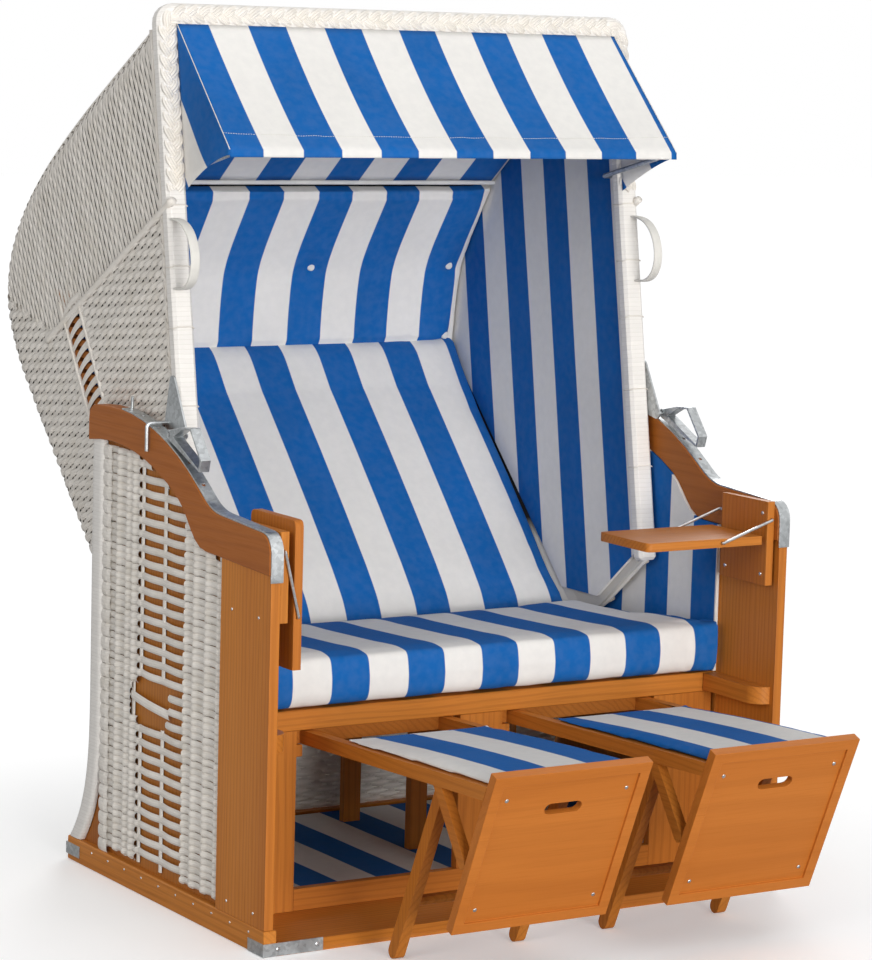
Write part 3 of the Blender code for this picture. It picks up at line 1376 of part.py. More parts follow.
def build_rest_frame(name, side, empty):
    parts = []
    rails = ((REST_INNER, REST_INNER + REST_RAIL_WIDTH), (REST_OUTER - REST_RAIL_WIDTH, REST_OUTER))
    for low, high in rails:
        parts.append(slab(rail_outline(REST_BACK), side * low, side * high))
    front = rail_outline(DECK_BACK)
    lift = REST_RAIL_HEIGHT - DECK_THICK
    deck = [(front[0][0], front[0][1] + lift), (front[1][0], front[1][1] + lift), front[2], front[3]]
    deck[0] = crossing(deck[0], deck[1], *panel_back_line())
    deck = [(deck[0][0] + GAP, deck[0][1]), deck[1], (deck[2][0], deck[2][1] - GAP),
            (deck[3][0] + GAP, deck[3][1] - GAP)]
    parts.append(slab(deck, side * (REST_INNER + GAP), side * (REST_OUTER - GAP)))
    slope = math.tan(math.radians(SLIDE_ANGLE))
    bar_front = REST_BACK - REST_BAR_DEPTH
    under = rest_under(bar_front)
    bar = [(bar_front, under), (REST_BACK + GAP, under - (REST_BAR_DEPTH + GAP) * slope),
           (REST_BACK + GAP, under + REST_RAIL_HEIGHT - 2 * GAP), (bar_front, under + REST_RAIL_HEIGHT - 2 * GAP)]
    parts.append(slab(bar, side * (REST_INNER - REST_BAR_LAP), side * (REST_OUTER + REST_BAR_LAP)))
    brace_end = panel_face(BRACE_LOW_SHARE)
    length = math.dist(PANEL_TOP, PANEL_LOW)
    normal = ((PANEL_TOP[1] - PANEL_LOW[1]) / length, (PANEL_LOW[0] - PANEL_TOP[0]) / length)
    reach = PANEL_THICK + GAP + BRACE_HALF
    brace_end = (brace_end[0] + normal[0] * reach, brace_end[1] + normal[1] * reach)
    top = (APEX_D - BRACE_HALF, rest_under(APEX_D) + REST_RAIL_HEIGHT / 2)
    for low, high in rails:
        shrink = GAP * 4
        parts.append(bar_between(top, brace_end, BRACE_HALF, side * (low + shrink), side * (high - shrink)))
    add("footrest_frame_" + name, parts, "stained_wood", empty)


def build_rest_panel(name, side, empty):
    length = math.dist(PANEL_TOP, PANEL_LOW)
    low, high = sorted((side * REST_INNER, side * REST_OUTER))
    outline = [(low, 0.0), (high, 0.0), (high, length), (low, length)]
    middle = (low + high) / 2
    radius = PANEL_SLOT_HEIGHT / 2
    reach = PANEL_SLOT_WIDTH / 2 - radius
    slot = arc((middle + reach, PANEL_SLOT_FROM_TOP), radius, -90, 90, 6)
    slot += arc((middle - reach, PANEL_SLOT_FROM_TOP), radius, 90, 270, 6)
    board = panel(outline, (slot,), 0.0, PANEL_THICK, panel_place)
    inset = PANEL_FRAME
    recess = [(low + inset, inset), (high - inset, inset), (high - inset, length - inset), (low + inset, length - inset)]
    cutter = panel(recess, (), -OVERRUN, PANEL_RECESS, panel_place)
    add("footrest_panel_" + name, board, "stained_wood", empty, cutters=[cutter])


def build_rest_pad(name, side, empty):
    """The upholstered top of a footrest, thinner towards its rear so that it passes under the seat rail."""
    def top(d):
        share = min(1.0, max(0.0, (d - PAD_FULL_D) / (DECK_BACK - PAD_FULL_D)))
        rise = PAD_FRONT_HEIGHT + (PAD_BACK_HEIGHT - PAD_FRONT_HEIGHT) * share
        return rest_under(d) + REST_RAIL_HEIGHT + rise

    front = rail_outline(DECK_BACK)[3][0] + GAP
    back = DECK_BACK
    span = back - front
    floor = [(back, rest_under(back) + REST_RAIL_HEIGHT + GAP), (front, rest_under(front) + REST_RAIL_HEIGHT + GAP)]
    face = [(front + GAP, top(front) - PAD_EDGE), (front + PAD_EDGE, top(front) - GAP)]
    crest = [(front + span * share, top(front + span * share)) for share in (0.2, 0.4, 0.6, 0.8)]
    end = [(back - PAD_EDGE, top(back - PAD_EDGE)), (back, top(back) - PAD_EDGE / 2)]
    section = floor + face + crest + end
    weights = [(0, 0), (0, 0), (1, 0), (1, 0.3), (1, 0.6), (1, 0.2), (1, 0), (1, 0), (1, 0), (0, 0)]
    half = (REST_OUTER - REST_INNER) / 2 - PAD_INSET
    pad = pillow(section, weights_for(section, weights), half, PAD_EDGE, PAD_CROWN, x_middle=side * REST_MIDDLE)
    add("footrest_pad_" + name, pad, "striped_cloth", empty)


def build_rest_leg(name, side, empty):
    """Two legs and a cross bar that fold up between the rails."""
    axis = joint_empty("footrest_leg_axis_" + name, at(side * REST_MIDDLE, APEX_D, APEX_Z), empty)
    apex, foot = (APEX_D, APEX_Z), (FOOT_D, FOOT_Z)
    parts = []
    inner = REST_INNER + REST_RAIL_WIDTH + LEG_GAP
    outer = REST_OUTER - REST_RAIL_WIDTH - LEG_GAP
    for low, high in ((inner, inner + LEG_THICK), (outer - LEG_THICK, outer)):
        parts.append(bar_between(apex, foot, LEG_HALF, side * low, side * high))
    share = 1 - CROSS_SHARE
    place = tuple(a + (b - a) * share for a, b in zip(apex, foot))
    cross = slab(around(place, CROSS_HEIGHT / 2, 8), side * (inner + LEG_THICK / 2), side * (outer - LEG_THICK / 2))
    parts.append(cross)
    for start, end in ((inner - LEG_GAP + GAP, inner + LEG_THICK / 2), (outer - LEG_THICK / 2, outer + LEG_GAP - GAP)):
        parts.append(cylinder(at(side * start, *apex), at(side * end, *apex), LEG_PIN))
    add("footrest_leg_" + name, parts, "stained_wood", axis)


def build_brackets():
    """Thin steel angles round the four lower corners."""
    outer = SIDE_X + GAP + BRACKET_THICK
    back = BASE_DEPTH + FOOT_REACH
    corners = {"front": (-GAP, -1, BRACKET_FRONT_Z), "rear": (back + GAP, 1, BRACKET_REAR_Z)}
    for end, (face, way, low) in corners.items():
        for name, side in (("left", -1), ("right", 1)):
            edge = face + way * BRACKET_THICK
            legs = face - way * BRACKET_SIDE_LENGTH
            reach = outer - BRACKET_FRONT_LENGTH
            outline = [(outer, edge), (reach, edge), (reach, face), (outer - BRACKET_THICK, face),
                       (outer - BRACKET_THICK, legs), (outer, legs)]
            outline = [(side * x, d) for x, d in outline]
            shape = panel(outline, (), low, low + BRACKET_HEIGHT, level)
            add("corner_bracket_" + end + "_" + name, shape, "galvanised")


def build():
    clear_scene()
    build_sides()
    build_rear()
    build_floor()
    build_posts()
    build_seat()
    hood = joint_empty("hood_axis", at(0.0, PIVOT_D, PIVOT_Z))
    build_hood(hood)
    build_awning(hood)
    build_tables()
    build_footrests()
    build_brackets()


build()
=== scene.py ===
"""The looks of a two-seat hooded beach chair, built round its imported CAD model. Metres, front towards -Y."""

import math

import bmesh
import bpy
import numpy as np
from mathutils import Matrix, Vector
from mathutils.bvhtree import BVHTree


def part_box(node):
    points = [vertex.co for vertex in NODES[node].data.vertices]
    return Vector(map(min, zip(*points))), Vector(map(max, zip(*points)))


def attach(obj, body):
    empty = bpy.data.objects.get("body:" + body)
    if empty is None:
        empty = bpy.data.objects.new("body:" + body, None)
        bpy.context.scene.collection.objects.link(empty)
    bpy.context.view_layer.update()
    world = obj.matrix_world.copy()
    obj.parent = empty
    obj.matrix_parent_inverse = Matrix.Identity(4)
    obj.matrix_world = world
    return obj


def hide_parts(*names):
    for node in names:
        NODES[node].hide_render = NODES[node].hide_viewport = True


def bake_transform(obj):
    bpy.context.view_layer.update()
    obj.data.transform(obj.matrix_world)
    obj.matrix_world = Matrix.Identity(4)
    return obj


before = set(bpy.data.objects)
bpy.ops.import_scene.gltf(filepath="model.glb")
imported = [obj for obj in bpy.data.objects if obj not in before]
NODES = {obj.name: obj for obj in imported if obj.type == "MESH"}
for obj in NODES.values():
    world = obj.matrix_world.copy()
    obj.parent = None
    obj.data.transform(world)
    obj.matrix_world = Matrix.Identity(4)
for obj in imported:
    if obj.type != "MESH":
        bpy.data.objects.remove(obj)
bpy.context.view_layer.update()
RANDOM = np.random.default_rng(11)

# The part's own values, repeated here because the scene reads only the frame
HALF_DEPTH = 0.3825
SIDE_X = 0.600
SKIN_IN = 0.5865
BASE_DEPTH = 0.765
STILE_D = 0.712
STILE_TOP = 0.968
BOARD_D = 0.195
REAR_TOP = 0.440
FOOT_REACH = 0.085
RAIL_HEIGHT = 0.050
REAR_CURL = 4
REAR_INSIDE = 0.012
SLOT_COLUMNS = ((0.355, 0.441), (0.455, 0.541))
HOLD_BOX = (0.417, 0.572, 0.337, 0.446)
SHELL_X = 0.556
SHELL_CORNER = 0.080
RIM_X = 0.5625
RIM_LOW = (0.395, 0.630)
RIM_TOP = (0.578, 1.775)
RIM_WIDTH = 0.045
RIM_DEPTH = 0.032
ROOF_START = (0.605, 1.762)
ROOF_KNEE = (0.950, 1.5635)
HOOD_BACK = (1.325, 1.165)
HOOD_HIP = (1.200, 0.930)
HOOD_TAIL = (0.700, 0.430)
ROOF_SHARES = ((0.453, 0.2625), (1.0, 0.5875))
HIP_SHARES = ((0.0, 0.362), (0.44, 0.702))
TONGUE_TOP = (0.575, 0.505)
RIM_LEAN = math.atan2(RIM_TOP[0] - RIM_LOW[0], RIM_TOP[1] - RIM_LOW[1])
RIB_START = (0.522, 1.381)
RIB_END = (1.039, 1.079)
VENT_LOW = (0.826, 0.950)
VENT_TOP = (0.947, 1.130)
VENT_SLOPE = (VENT_TOP[0] - VENT_LOW[0]) / (VENT_TOP[1] - VENT_LOW[1])
COLUMN_HALF = 0.047

# Blocks of the striped cloth
STRIPE_PERIOD = 0.1736
BLUE_SHARE = 0.493
BLUE = (0.006, 0.115, 0.400, 1.0)
WHITE = (0.815, 0.795, 0.765, 1.0)
AWNING_PERIOD, AWNING_CENTRE = 0.1752, 0.0300


# Materials

def toned(colour, gain=1.0):
    """A colour made lighter or darker."""
    return tuple(c * gain for c in colour[:3]) + (1.0,)


class Nodes:
    """Short calls for a material's node tree."""

    def __init__(self, name):
        self.material = bpy.data.materials.new(name)
        self.material.use_nodes = True
        self.tree = self.material.node_tree
        self.shader = self.tree.nodes["Principled BSDF"]
        self.place = self.add("ShaderNodeTexCoord").outputs["Object"]

    def add(self, kind, **settings):
        node = self.tree.nodes.new(kind)
        for key, value in settings.items():
            setattr(node, key, value)
        return node

    def link(self, source, target):
        self.tree.links.new(source, target)

    def put(self, target, value):
        if isinstance(value, bpy.types.NodeSocket):
            self.link(value, target)
        else:
            target.default_value = value

    def math(self, operation, first, second=0.0, third=0.0, clamp=False):
        node = self.add("ShaderNodeMath", operation=operation, use_clamp=clamp)
        for socket, value in zip(node.inputs, (first, second, third)):
            self.put(socket, value)
        return node.outputs[0]

    def dot(self, vector, place=None):
        node = self.add("ShaderNodeVectorMath", operation="DOT_PRODUCT")
        self.put(node.inputs[0], place or self.place)
        node.inputs[1].default_value = vector
        return node.outputs["Value"]

    def stretched(self, scale, place=None, offset=(0.0, 0.0, 0.0)):
        node = self.add("ShaderNodeMapping")
        self.put(node.inputs["Vector"], place or self.place)
        node.inputs["Location"].default_value = offset
        node.inputs["Scale"].default_value = scale
        return node.outputs[0]

    def noise(self, scale, detail=3.0, place=None, distortion=0.0, rough=0.5):
        node = self.add("ShaderNodeTexNoise")
        self.put(node.inputs["Vector"], place or self.place)
        node.inputs["Scale"].default_value = scale
        node.inputs["Detail"].default_value = detail
        node.inputs["Roughness"].default_value = rough
        node.inputs["Distortion"].default_value = distortion
        return node.outputs["Fac"]

    def ramp(self, value, low, high, start=0.0, end=1.0):
        node = self.add("ShaderNodeMapRange")
        for socket, given in zip(node.inputs, (value, low, high, start, end)):
            self.put(socket, given)
        return node.outputs[0]

    def mix(self, share, first, second, blend="MIX"):
        node = self.add("ShaderNodeMix", data_type="RGBA", blend_type=blend)
        self.put(node.inputs[0], share)
        self.put(node.inputs[6], first)
        self.put(node.inputs[7], second)
        return node.outputs[2]

    def bump(self, height, strength, distance, normal=None):
        node = self.add("ShaderNodeBump")
        node.inputs["Strength"].default_value = strength
        node.inputs["Distance"].default_value = distance
        self.put(node.inputs["Height"], height)
        if normal:
            self.link(normal, node.inputs["Normal"])
        return node.outputs[0]

    def finish(self, colour, roughness, normal=None, metallic=None, sheen=None, specular=None):
        self.put(self.shader.inputs["Base Color"], colour)
        self.put(self.shader.inputs["Roughness"], roughness)
        if normal:
            self.link(normal, self.shader.inputs["Normal"])
        if metallic is not None:
            self.shader.inputs["Metallic"].default_value = metallic
        if sheen is not None:
            self.shader.inputs["Sheen Weight"].default_value = sheen
        if specular is not None:
            self.shader.inputs["Specular IOR Level"].default_value = specular
        return self.material


def striped(name, direction, centre, period=STRIPE_PERIOD):
    """Smooth woven cloth in blue and white blocks, counted along a direction or, without one, along its own map."""
    n = Nodes(name)
    if direction:
        along = n.dot(direction)
    else:
        split = n.add("ShaderNodeSeparateXYZ")
        n.link(n.add("ShaderNodeUVMap").outputs[0], split.inputs[0])
        along = split.outputs[0]
    turn = n.math("FRACT", n.math("MULTIPLY_ADD", along, 1 / period, 0.5 - centre / period))
    away = n.math("ABSOLUTE", n.math("SUBTRACT", turn, 0.5))
    edge = 0.0009 / period
    white = n.ramp(away, BLUE_SHARE / 2 - edge, BLUE_SHARE / 2 + edge)
    cloud = n.ramp(n.noise(5.0, 4.0), 0.3, 0.7)
    fine = n.noise(55.0, 3.0)
    blue = n.mix(cloud, toned(BLUE, 0.92), toned(BLUE, 1.08))
    pale = n.mix(cloud, toned(WHITE, 0.965), toned(WHITE, 1.02))
    colour = n.mix(white, blue, pale)
    colour = n.mix(n.ramp(fine, 0.35, 0.65, 0.0, 0.06), colour, (0.30, 0.32, 0.36, 1.0))
    threads = n.math("MULTIPLY", n.math("SINE", n.dot((5200.0, 2600.0, 0.0))),
                     n.math("SINE", n.dot((0.0, 2600.0, 5200.0))))
    cloth = n.bump(threads, 0.10, 0.0004)
    soft = n.bump(n.noise(9.0, 2.0), 0.10, 0.012, cloth)
    return n.finish(colour, n.ramp(fine, 0.3, 0.7, 0.70, 0.80), soft, specular=0.12)


def plain_cloth(name, colour, grain=900.0):
    n = Nodes(name)
    cloud = n.noise(30.0, 4.0)
    shade = n.mix(n.ramp(cloud, 0.3, 0.7), toned(colour, 0.90), toned(colour))
    threads = n.math("MULTIPLY", n.math("SINE", n.dot((grain * 3, 0.0, grain * 2))),
                     n.math("SINE", n.dot((0.0, grain * 3, -grain * 2))))
    return n.finish(shade, 0.72, n.bump(threads, 0.35, 0.0006), specular=0.15)


def wicker_material(name, colour=(0.84, 0.795, 0.735)):
    """Off-white cane: each strand is a row of thin round canes, with its own slight tone; painted shade darkens the
    grooves between the canes.
    """
    n = Nodes(name)
    uv = n.add("ShaderNodeUVMap").outputs[0]
    tone = n.add("ShaderNodeAttribute", attribute_name="tone").outputs["Fac"]
    split = n.add("ShaderNodeSeparateXYZ")
    n.link(uv, split.inputs[0])
    canes = n.math("ABSOLUTE", n.math("SINE", n.math("MULTIPLY", split.outputs[1], math.pi * 4)))
    wear = n.noise(26.0, 5.0)
    light = n.mix(tone, toned(colour, 0.93), toned(colour, 1.04))
    worn = n.mix(n.ramp(wear, 0.45, 0.75, 0.0, 0.35), light, (0.62, 0.56, 0.46, 1.0))
    # Painted shade: the colour is darkened in the grooves between the canes.
    seam = n.mix(n.ramp(canes, 0.0, 0.35, 0.20, 0.0), worn, (0.35, 0.30, 0.24, 1.0))
    relief = n.bump(canes, 0.35, 0.0012)
    fibre = n.bump(n.noise(160.0, 2.0), 0.12, 0.0008, relief)
    return n.finish(seam, n.ramp(wear, 0.3, 0.7, 0.42, 0.55), fibre, specular=0.35)


def wrapped_material(name, direction, pitch, colour=(0.84, 0.81, 0.77)):
    """A round band of cane wound edge to edge: thin grooves across the direction, darkened with painted shade."""
    n = Nodes(name)
    along = n.math("MULTIPLY", n.dot(direction), 1 / pitch)
    wander = n.math("MULTIPLY_ADD", n.noise(14.0, 2.0), 0.5, along)
    turn = n.math("ABSOLUTE", n.math("SINE", n.math("MULTIPLY", wander, math.pi)))
    each = n.add("ShaderNodeTexWhiteNoise", noise_dimensions="1D")
    n.link(n.math("FLOOR", wander), each.inputs["W"])
    light = n.mix(each.outputs["Value"], toned(colour, 0.95), toned(colour))
    # Painted shade: the colour is darkened in the grooves between the turns.
    groove = n.mix(n.ramp(turn, 0.0, 0.16, 0.38, 0.0), light, (0.40, 0.35, 0.29, 1.0))
    return n.finish(groove, 0.46, n.bump(n.ramp(turn, 0.0, 0.5), 0.30, 0.0012), specular=0.35)


WOOD_TONES = ((0.600, 0.215, 0.030), (0.480, 0.150, 0.018), (0.270, 0.070, 0.006))


def wood(name, grain, offset=0.0, tones=WOOD_TONES, figure=1.0, gain=1.0):
    """Stained pine: soft lines that wander along the grain, and fine pores."""
    n = Nodes(name)
    wide = [11.0, 11.0, 11.0]
    wide[grain] = 0.85
    fine = [340.0, 340.0, 340.0]
    fine[grain] = 9.0
    lines = [57.0, 83.0, 71.0]
    lines[grain] = 0.0
    shift = (offset * 3.1, offset * 1.7, offset * 2.3)
    field = n.noise(1.0, 2.0, n.stretched(wide, offset=shift), 0.4)
    turn = n.math("MULTIPLY_ADD", field, 3.2, n.dot([k * figure for k in lines]))
    late = n.ramp(n.math("SINE", n.math("MULTIPLY", turn, math.tau)), 0.1, 1.0)
    streak = n.noise(1.0, 4.0, n.stretched(fine, offset=shift), 0.0, 0.6)
    broad = n.noise(2.3, 3.0, n.stretched([w / 6 for w in wide], offset=shift))
    tone = [toned(t, gain) for t in tones]
    colour = n.mix(n.ramp(broad, 0.35, 0.65), tone[0], tone[1])
    colour = n.mix(n.math("MULTIPLY", late, 0.26), colour, tone[2])
    colour = n.mix(n.ramp(streak, 0.50, 0.80, 0.0, 0.40), colour, tone[2])
    relief = n.bump(n.math("ADD", streak, n.math("MULTIPLY", late, 0.5)), 0.22, 0.0007)
    return n.finish(colour, n.ramp(streak, 0.3, 0.8, 0.42, 0.60), relief, specular=0.26)


def steel(name, colour=(0.50, 0.52, 0.53), rough=0.36):
    """Galvanised sheet: a pale spangle of crystals with dull patches."""
    n = Nodes(name)
    cells = n.add("ShaderNodeTexVoronoi", feature="F1")
    n.link(n.place, cells.inputs["Vector"])
    cells.inputs["Scale"].default_value = 140.0
    patch = n.noise(18.0, 4.0)
    each = n.add("ShaderNodeSeparateColor")
    n.link(cells.outputs["Color"], each.inputs[0])
    light = n.mix(each.outputs[0], toned(colour, 0.78), toned(colour, 1.12))
    dull = n.mix(n.ramp(patch, 0.5, 0.75, 0.0, 0.45), light, (0.33, 0.34, 0.34, 1.0))
    scratch = n.noise(1.0, 3.0, n.stretched((40.0, 900.0, 900.0)))
    return n.finish(dull, n.ramp(patch, 0.3, 0.7, rough - 0.08, rough + 0.14),
                    n.bump(scratch, 0.08, 0.0004), metallic=1.0)


M = {
    "seat": striped("seat_stripes", (1.0, 0.0, 0.0), 0.0245),
    "back": striped("back_stripes", (1.0, 0.0, 0.0), 0.0150),
    "neck": striped("neck_stripes", (1.0, 0.0, 0.0), -0.0540),
    "roof": striped("roof_stripes", (1.0, 0.0, 0.0), -0.0420),
    "awning": striped("awning_stripes", None, AWNING_CENTRE, AWNING_PERIOD),
    "floor": striped("floor_stripes", (1.0, 0.0, 0.0), 0.0200),
    "pad_left": striped("pad_left_stripes", (1.0, 0.0, 0.0), -0.3050),
    "pad_right": striped("pad_right_stripes", (1.0, 0.0, 0.0), 0.2450),
    "hood_side": striped("hood_side_stripes", (0.0, 1.0, -math.tan(RIM_LEAN)),
                         0.491 - HALF_DEPTH - math.tan(RIM_LEAN) * 0.630),
    "base_side": striped("base_side_stripes", (0.0, 1.0, 0.0), 0.241 - HALF_DEPTH, 0.167),
    "piping": plain_cloth("white_piping", (0.80, 0.79, 0.765)),
    "webbing": plain_cloth("white_webbing", (0.78, 0.76, 0.71), 600.0),
    "wicker": wicker_material("white_cane"),
    "wrap_z": wrapped_material("wound_cane_upright", (0.0, 0.0, 1.0), 0.0075),
    "wrap_x": wrapped_material("wound_cane_level", (1.0, 0.0, 0.0), 0.0075),
    "wrap_rim": wrapped_material("wound_cane_rim", (0.0, math.sin(RIM_LEAN), math.cos(RIM_LEAN)), 0.0092),
    "steel": steel("galvanised_steel"),
    "bright": steel("bright_steel", (0.66, 0.67, 0.68), 0.26),
}
for axis, label in enumerate("xyz"):
    for turn in range(3):
        M[f"wood_{label}{turn}"] = wood(f"stained_pine_{label}{turn}", axis, 1.7 * turn + axis)
M["ply"] = wood("stained_plywood", 0, 5.2, figure=0.35,
                tones=((0.570, 0.185, 0.028), (0.510, 0.155, 0.020), (0.400, 0.115, 0.013)))
M["arm"] = wood("armrest_wood", 1, 2.4, figure=0.6,
                tones=((0.410, 0.125, 0.017), (0.350, 0.100, 0.012), (0.250, 0.065, 0.006)))
M["wall"] = wood("inner_wall_wood", 2, 3.3, gain=0.80)


def dark_inside(name):
    """What shows between the strands of the hood: painted shadow on the board, and bare wood behind the open
    column.
    """
    n = Nodes(name)
    split = n.add("ShaderNodeSeparateXYZ")
    n.link(n.place, split.inputs[0])
    height = split.outputs[2]
    lean = n.math("MULTIPLY_ADD", height, -VENT_SLOPE, split.outputs[1])
    middle = VENT_LOW[0] - HALF_DEPTH - VENT_LOW[1] * VENT_SLOPE
    off = n.math("ABSOLUTE", n.math("SUBTRACT", lean, middle))
    column = n.math("MULTIPLY", n.ramp(off, 0.056, 0.060, 1.0, 0.0),
                    n.math("MULTIPLY", n.ramp(height, 0.90, 0.91), n.ramp(height, 1.17, 1.18, 1.0, 0.0)))
    low = n.ramp(height, 0.62, 0.66, 1.0, 0.0)
    grain = n.noise(1.0, 3.0, n.stretched((60.0, 60.0, 6.0)))
    brown = n.mix(grain, (0.30, 0.095, 0.018, 1.0), (0.46, 0.165, 0.035, 1.0))
    # Painted shadow: near black where the board lies in shade behind the strands.
    painted_shadow = n.mix(grain, (0.010, 0.008, 0.006, 1.0), (0.030, 0.024, 0.019, 1.0))
    colour = n.mix(low, n.mix(column, painted_shadow, brown), (0.62, 0.59, 0.54, 1.0))
    return n.finish(colour, 0.75, specular=0.2)


M["inside"] = dark_inside("hood_inside_shadow")


def give(obj, look):
    obj.data.materials.clear()
    obj.data.materials.append(M[look])
    return obj


# Meshes

def mesh_object(name, points, faces, smooth=True, uv=None, tone=None):
    """A mesh from arrays. Faces are rows of three or four corners."""
    mesh = bpy.data.meshes.new(name)
    points = np.asarray(points, np.float32)
    faces = np.asarray(faces, np.int32)
    mesh.vertices.add(len(points))
    mesh.vertices.foreach_set("co", points.ravel())
    mesh.loops.add(faces.size)
    mesh.loops.foreach_set("vertex_index", faces.ravel())
    mesh.polygons.add(len(faces))
    mesh.polygons.foreach_set("loop_start", np.arange(len(faces), dtype=np.int32) * faces.shape[1])
    if uv is not None:
        layer = mesh.uv_layers.new(name="UVMap")
        layer.data.foreach_set("uv", np.asarray(uv, np.float32)[faces.ravel()].ravel())
    if tone is not None:
        attribute = mesh.attributes.new("tone", "FLOAT", "POINT")
        attribute.data.foreach_set("value", np.asarray(tone, np.float32))
    mesh.update(calc_edges=True)
    mesh.validate()
    mesh.polygons.foreach_set("use_smooth", np.full(len(mesh.polygons), smooth))
    made = bpy.data.objects.new(name, mesh)
    bpy.context.scene.collection.objects.link(made)
    return made


def grid_faces(rows, columns, wrap=False):
    i, j = np.meshgrid(np.arange(rows - 1), np.arange(columns - (0 if wrap else 1)), indexing="ij")
    right = (j + 1) % columns
    return np.stack([i * columns + j, i * columns + right, (i + 1) * columns + right, (i + 1) * columns + j],
                    -1).reshape(-1, 4)


class Strands:
    """Collects crowned bands and round tubes into one mesh."""

    SECTION = ((-0.5, 1.0), (-0.30, 0.18), (0.0, 0.0), (0.30, 0.18), (0.5, 1.0))

    def __init__(self):
        self.points, self.faces, self.uvs, self.tones, self.count = [], [], [], [], 0

    def put(self, rings, wrap, along):
        """rings: stations by places across by xyz."""
        rows, columns = rings.shape[:2]
        self.points.append(rings.reshape(-1, 3))
        self.faces.append(grid_faces(rows, columns, wrap) + self.count)
        uv = np.stack(np.broadcast_arrays(np.asarray(along)[:, None], np.linspace(0, 1, columns)[None]), -1)
        self.uvs.append(uv.reshape(-1, 2))
        self.tones.append(np.full(rows * columns, RANDOM.random()))
        self.count += rows * columns

    def band(self, chart, u, v, width, lift, thick, turned=False):
        """A band along u, or along v if turned, lifted off the chart's surface."""
        rings = []
        u, v, width, lift = np.broadcast_arrays(u, v, width, lift)
        for share, drop in self.SECTION:
            uu, vv = (u + share * width, v) if turned else (u, v + share * width)
            point, normal = chart(uu, vv)
            rings.append(point + normal * (lift - drop * thick)[:, None])
        self.put(np.stack(rings, 1), False, v if turned else u)

    def tube(self, path, radius, sides=8, squash=1.0):
        """A round or flattened tube with closed ends."""
        path = np.asarray(path, float)
        ahead = np.gradient(path, axis=0)
        ahead /= np.maximum(np.linalg.norm(ahead, axis=1), 1e-9)[:, None]
        side = np.cross(ahead, (0.0, 0.0, 1.0))
        side[np.linalg.norm(side, axis=1) < 0.05] = (1.0, 0.0, 0.0)
        side /= np.linalg.norm(side, axis=1)[:, None]
        other = np.cross(side, ahead)
        reach = np.r_[0, np.cumsum(np.linalg.norm(np.diff(path, axis=0), axis=1))]
        repeat = np.r_[0, np.arange(len(path)), len(path) - 1]
        radii = np.broadcast_to(np.asarray(radius, float), len(path))[repeat].copy()
        radii[[0, -1]] = 1e-5
        turn = np.linspace(0, math.tau, sides, endpoint=False)
        rings = (path[repeat, None] + side[repeat, None] * np.cos(turn)[:, None] * radii[:, None, None]
                 + other[repeat, None] * np.sin(turn)[:, None] * squash * radii[:, None, None])
        self.put(rings, True, reach[repeat])

    def build(self, name, look, body, slot_name, replaces=()):
        made = mesh_object(name, np.concatenate(self.points), np.concatenate(self.faces), True,
                           np.concatenate(self.uvs), np.concatenate(self.tones))
        give(made, look)
        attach(made, body)
        if replaces:
            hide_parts(*replaces)
        return made


def runs(mask):
    """Start and end of each run of true values that is at least three long."""
    edges = np.flatnonzero(np.diff(np.r_[0, mask.astype(np.int8), 0]))
    return [(a, b) for a, b in zip(edges[::2], edges[1::2]) if b - a >= 3]


def bend(start, end, shares, steps):
    handles = [(start[0] + (end[0] - start[0]) * u, start[1] + (end[1] - start[1]) * v) for u, v in shares]
    t = np.linspace(0, 1, steps + 1)[:, None]
    a, b, c, d = (np.array(p) for p in (start, handles[0], handles[1], end))
    return (1 - t) ** 3 * a + 3 * t * (1 - t) ** 2 * b + 3 * t * t * (1 - t) * c + t ** 3 * d


def resampled(points, step):
    points = np.asarray(points, float)
    reach = np.r_[0, np.cumsum(np.linalg.norm(np.diff(points, axis=0), axis=1))]
    want = np.linspace(0, reach[-1], max(3, int(reach[-1] / step) + 1))
    return np.stack([np.interp(want, reach, points[:, k]) for k in range(points.shape[1])], 1)


def in_polygon(x, y, polygon):
    x, y = np.broadcast_arrays(x, y)
    inside = np.zeros(x.shape, bool)
    for (x1, y1), (x2, y2) in zip(polygon, np.roll(polygon, -1, axis=0)):
        crosses = (y1 > y) != (y2 > y)
        with np.errstate(divide="ignore", invalid="ignore"):
            inside ^= crosses & (x < x1 + (y - y1) * (x2 - x1) / (y2 - y1))
    return inside


def at(x, d, z):
    return np.stack(np.broadcast_arrays(x, np.asarray(d) - HALF_DEPTH, z), -1).astype(float)


# Base weave

def tree_of(mesh):
    return BVHTree.FromPolygons([v.co[:] for v in mesh.vertices], [p.vertices[:] for p in mesh.polygons])


def covers(node):
    """Whether points of the side, as depths and heights, lie on this CAD node."""
    tree = tree_of(NODES[node].data)

    def test(d, z):
        starts = [Vector((-2.0, a - HALF_DEPTH, b)) for a, b in zip(*np.broadcast_arrays(d, z))]
        return np.array([tree.ray_cast(start, Vector((1.0, 0.0, 0.0)))[0] is not None for start in starts])
    return test


HOLD_SHARES = ((0.0, 0.40), (0.10, 0.16), (0.45, 0.0), (0.80, 0.05), (1.0, 0.22),
               (1.0, 0.72), (0.82, 0.90), (0.40, 1.0), (0.05, 0.92), (0.0, 0.80))
HOLD = np.array([(HOLD_BOX[0] + (HOLD_BOX[1] - HOLD_BOX[0]) * u,
                  HOLD_BOX[2] + (HOLD_BOX[3] - HOLD_BOX[2]) * v) for u, v in HOLD_SHARES])
SIDE_STAKES = (0.213, 0.262, 0.311, 0.352, 0.448, 0.545, 0.576, 0.603, 0.646, 0.690)
SIDE_PITCH = 0.014
SIDE_FIRST = 0.0485
BLOCK_PITCH = 0.028


def side_chart(side):
    def chart(u, v):
        point = at(side * SKIN_IN, u, v)
        return point, np.broadcast_to(np.array((float(side), 0.0, 0.0)), point.shape)
    return chart


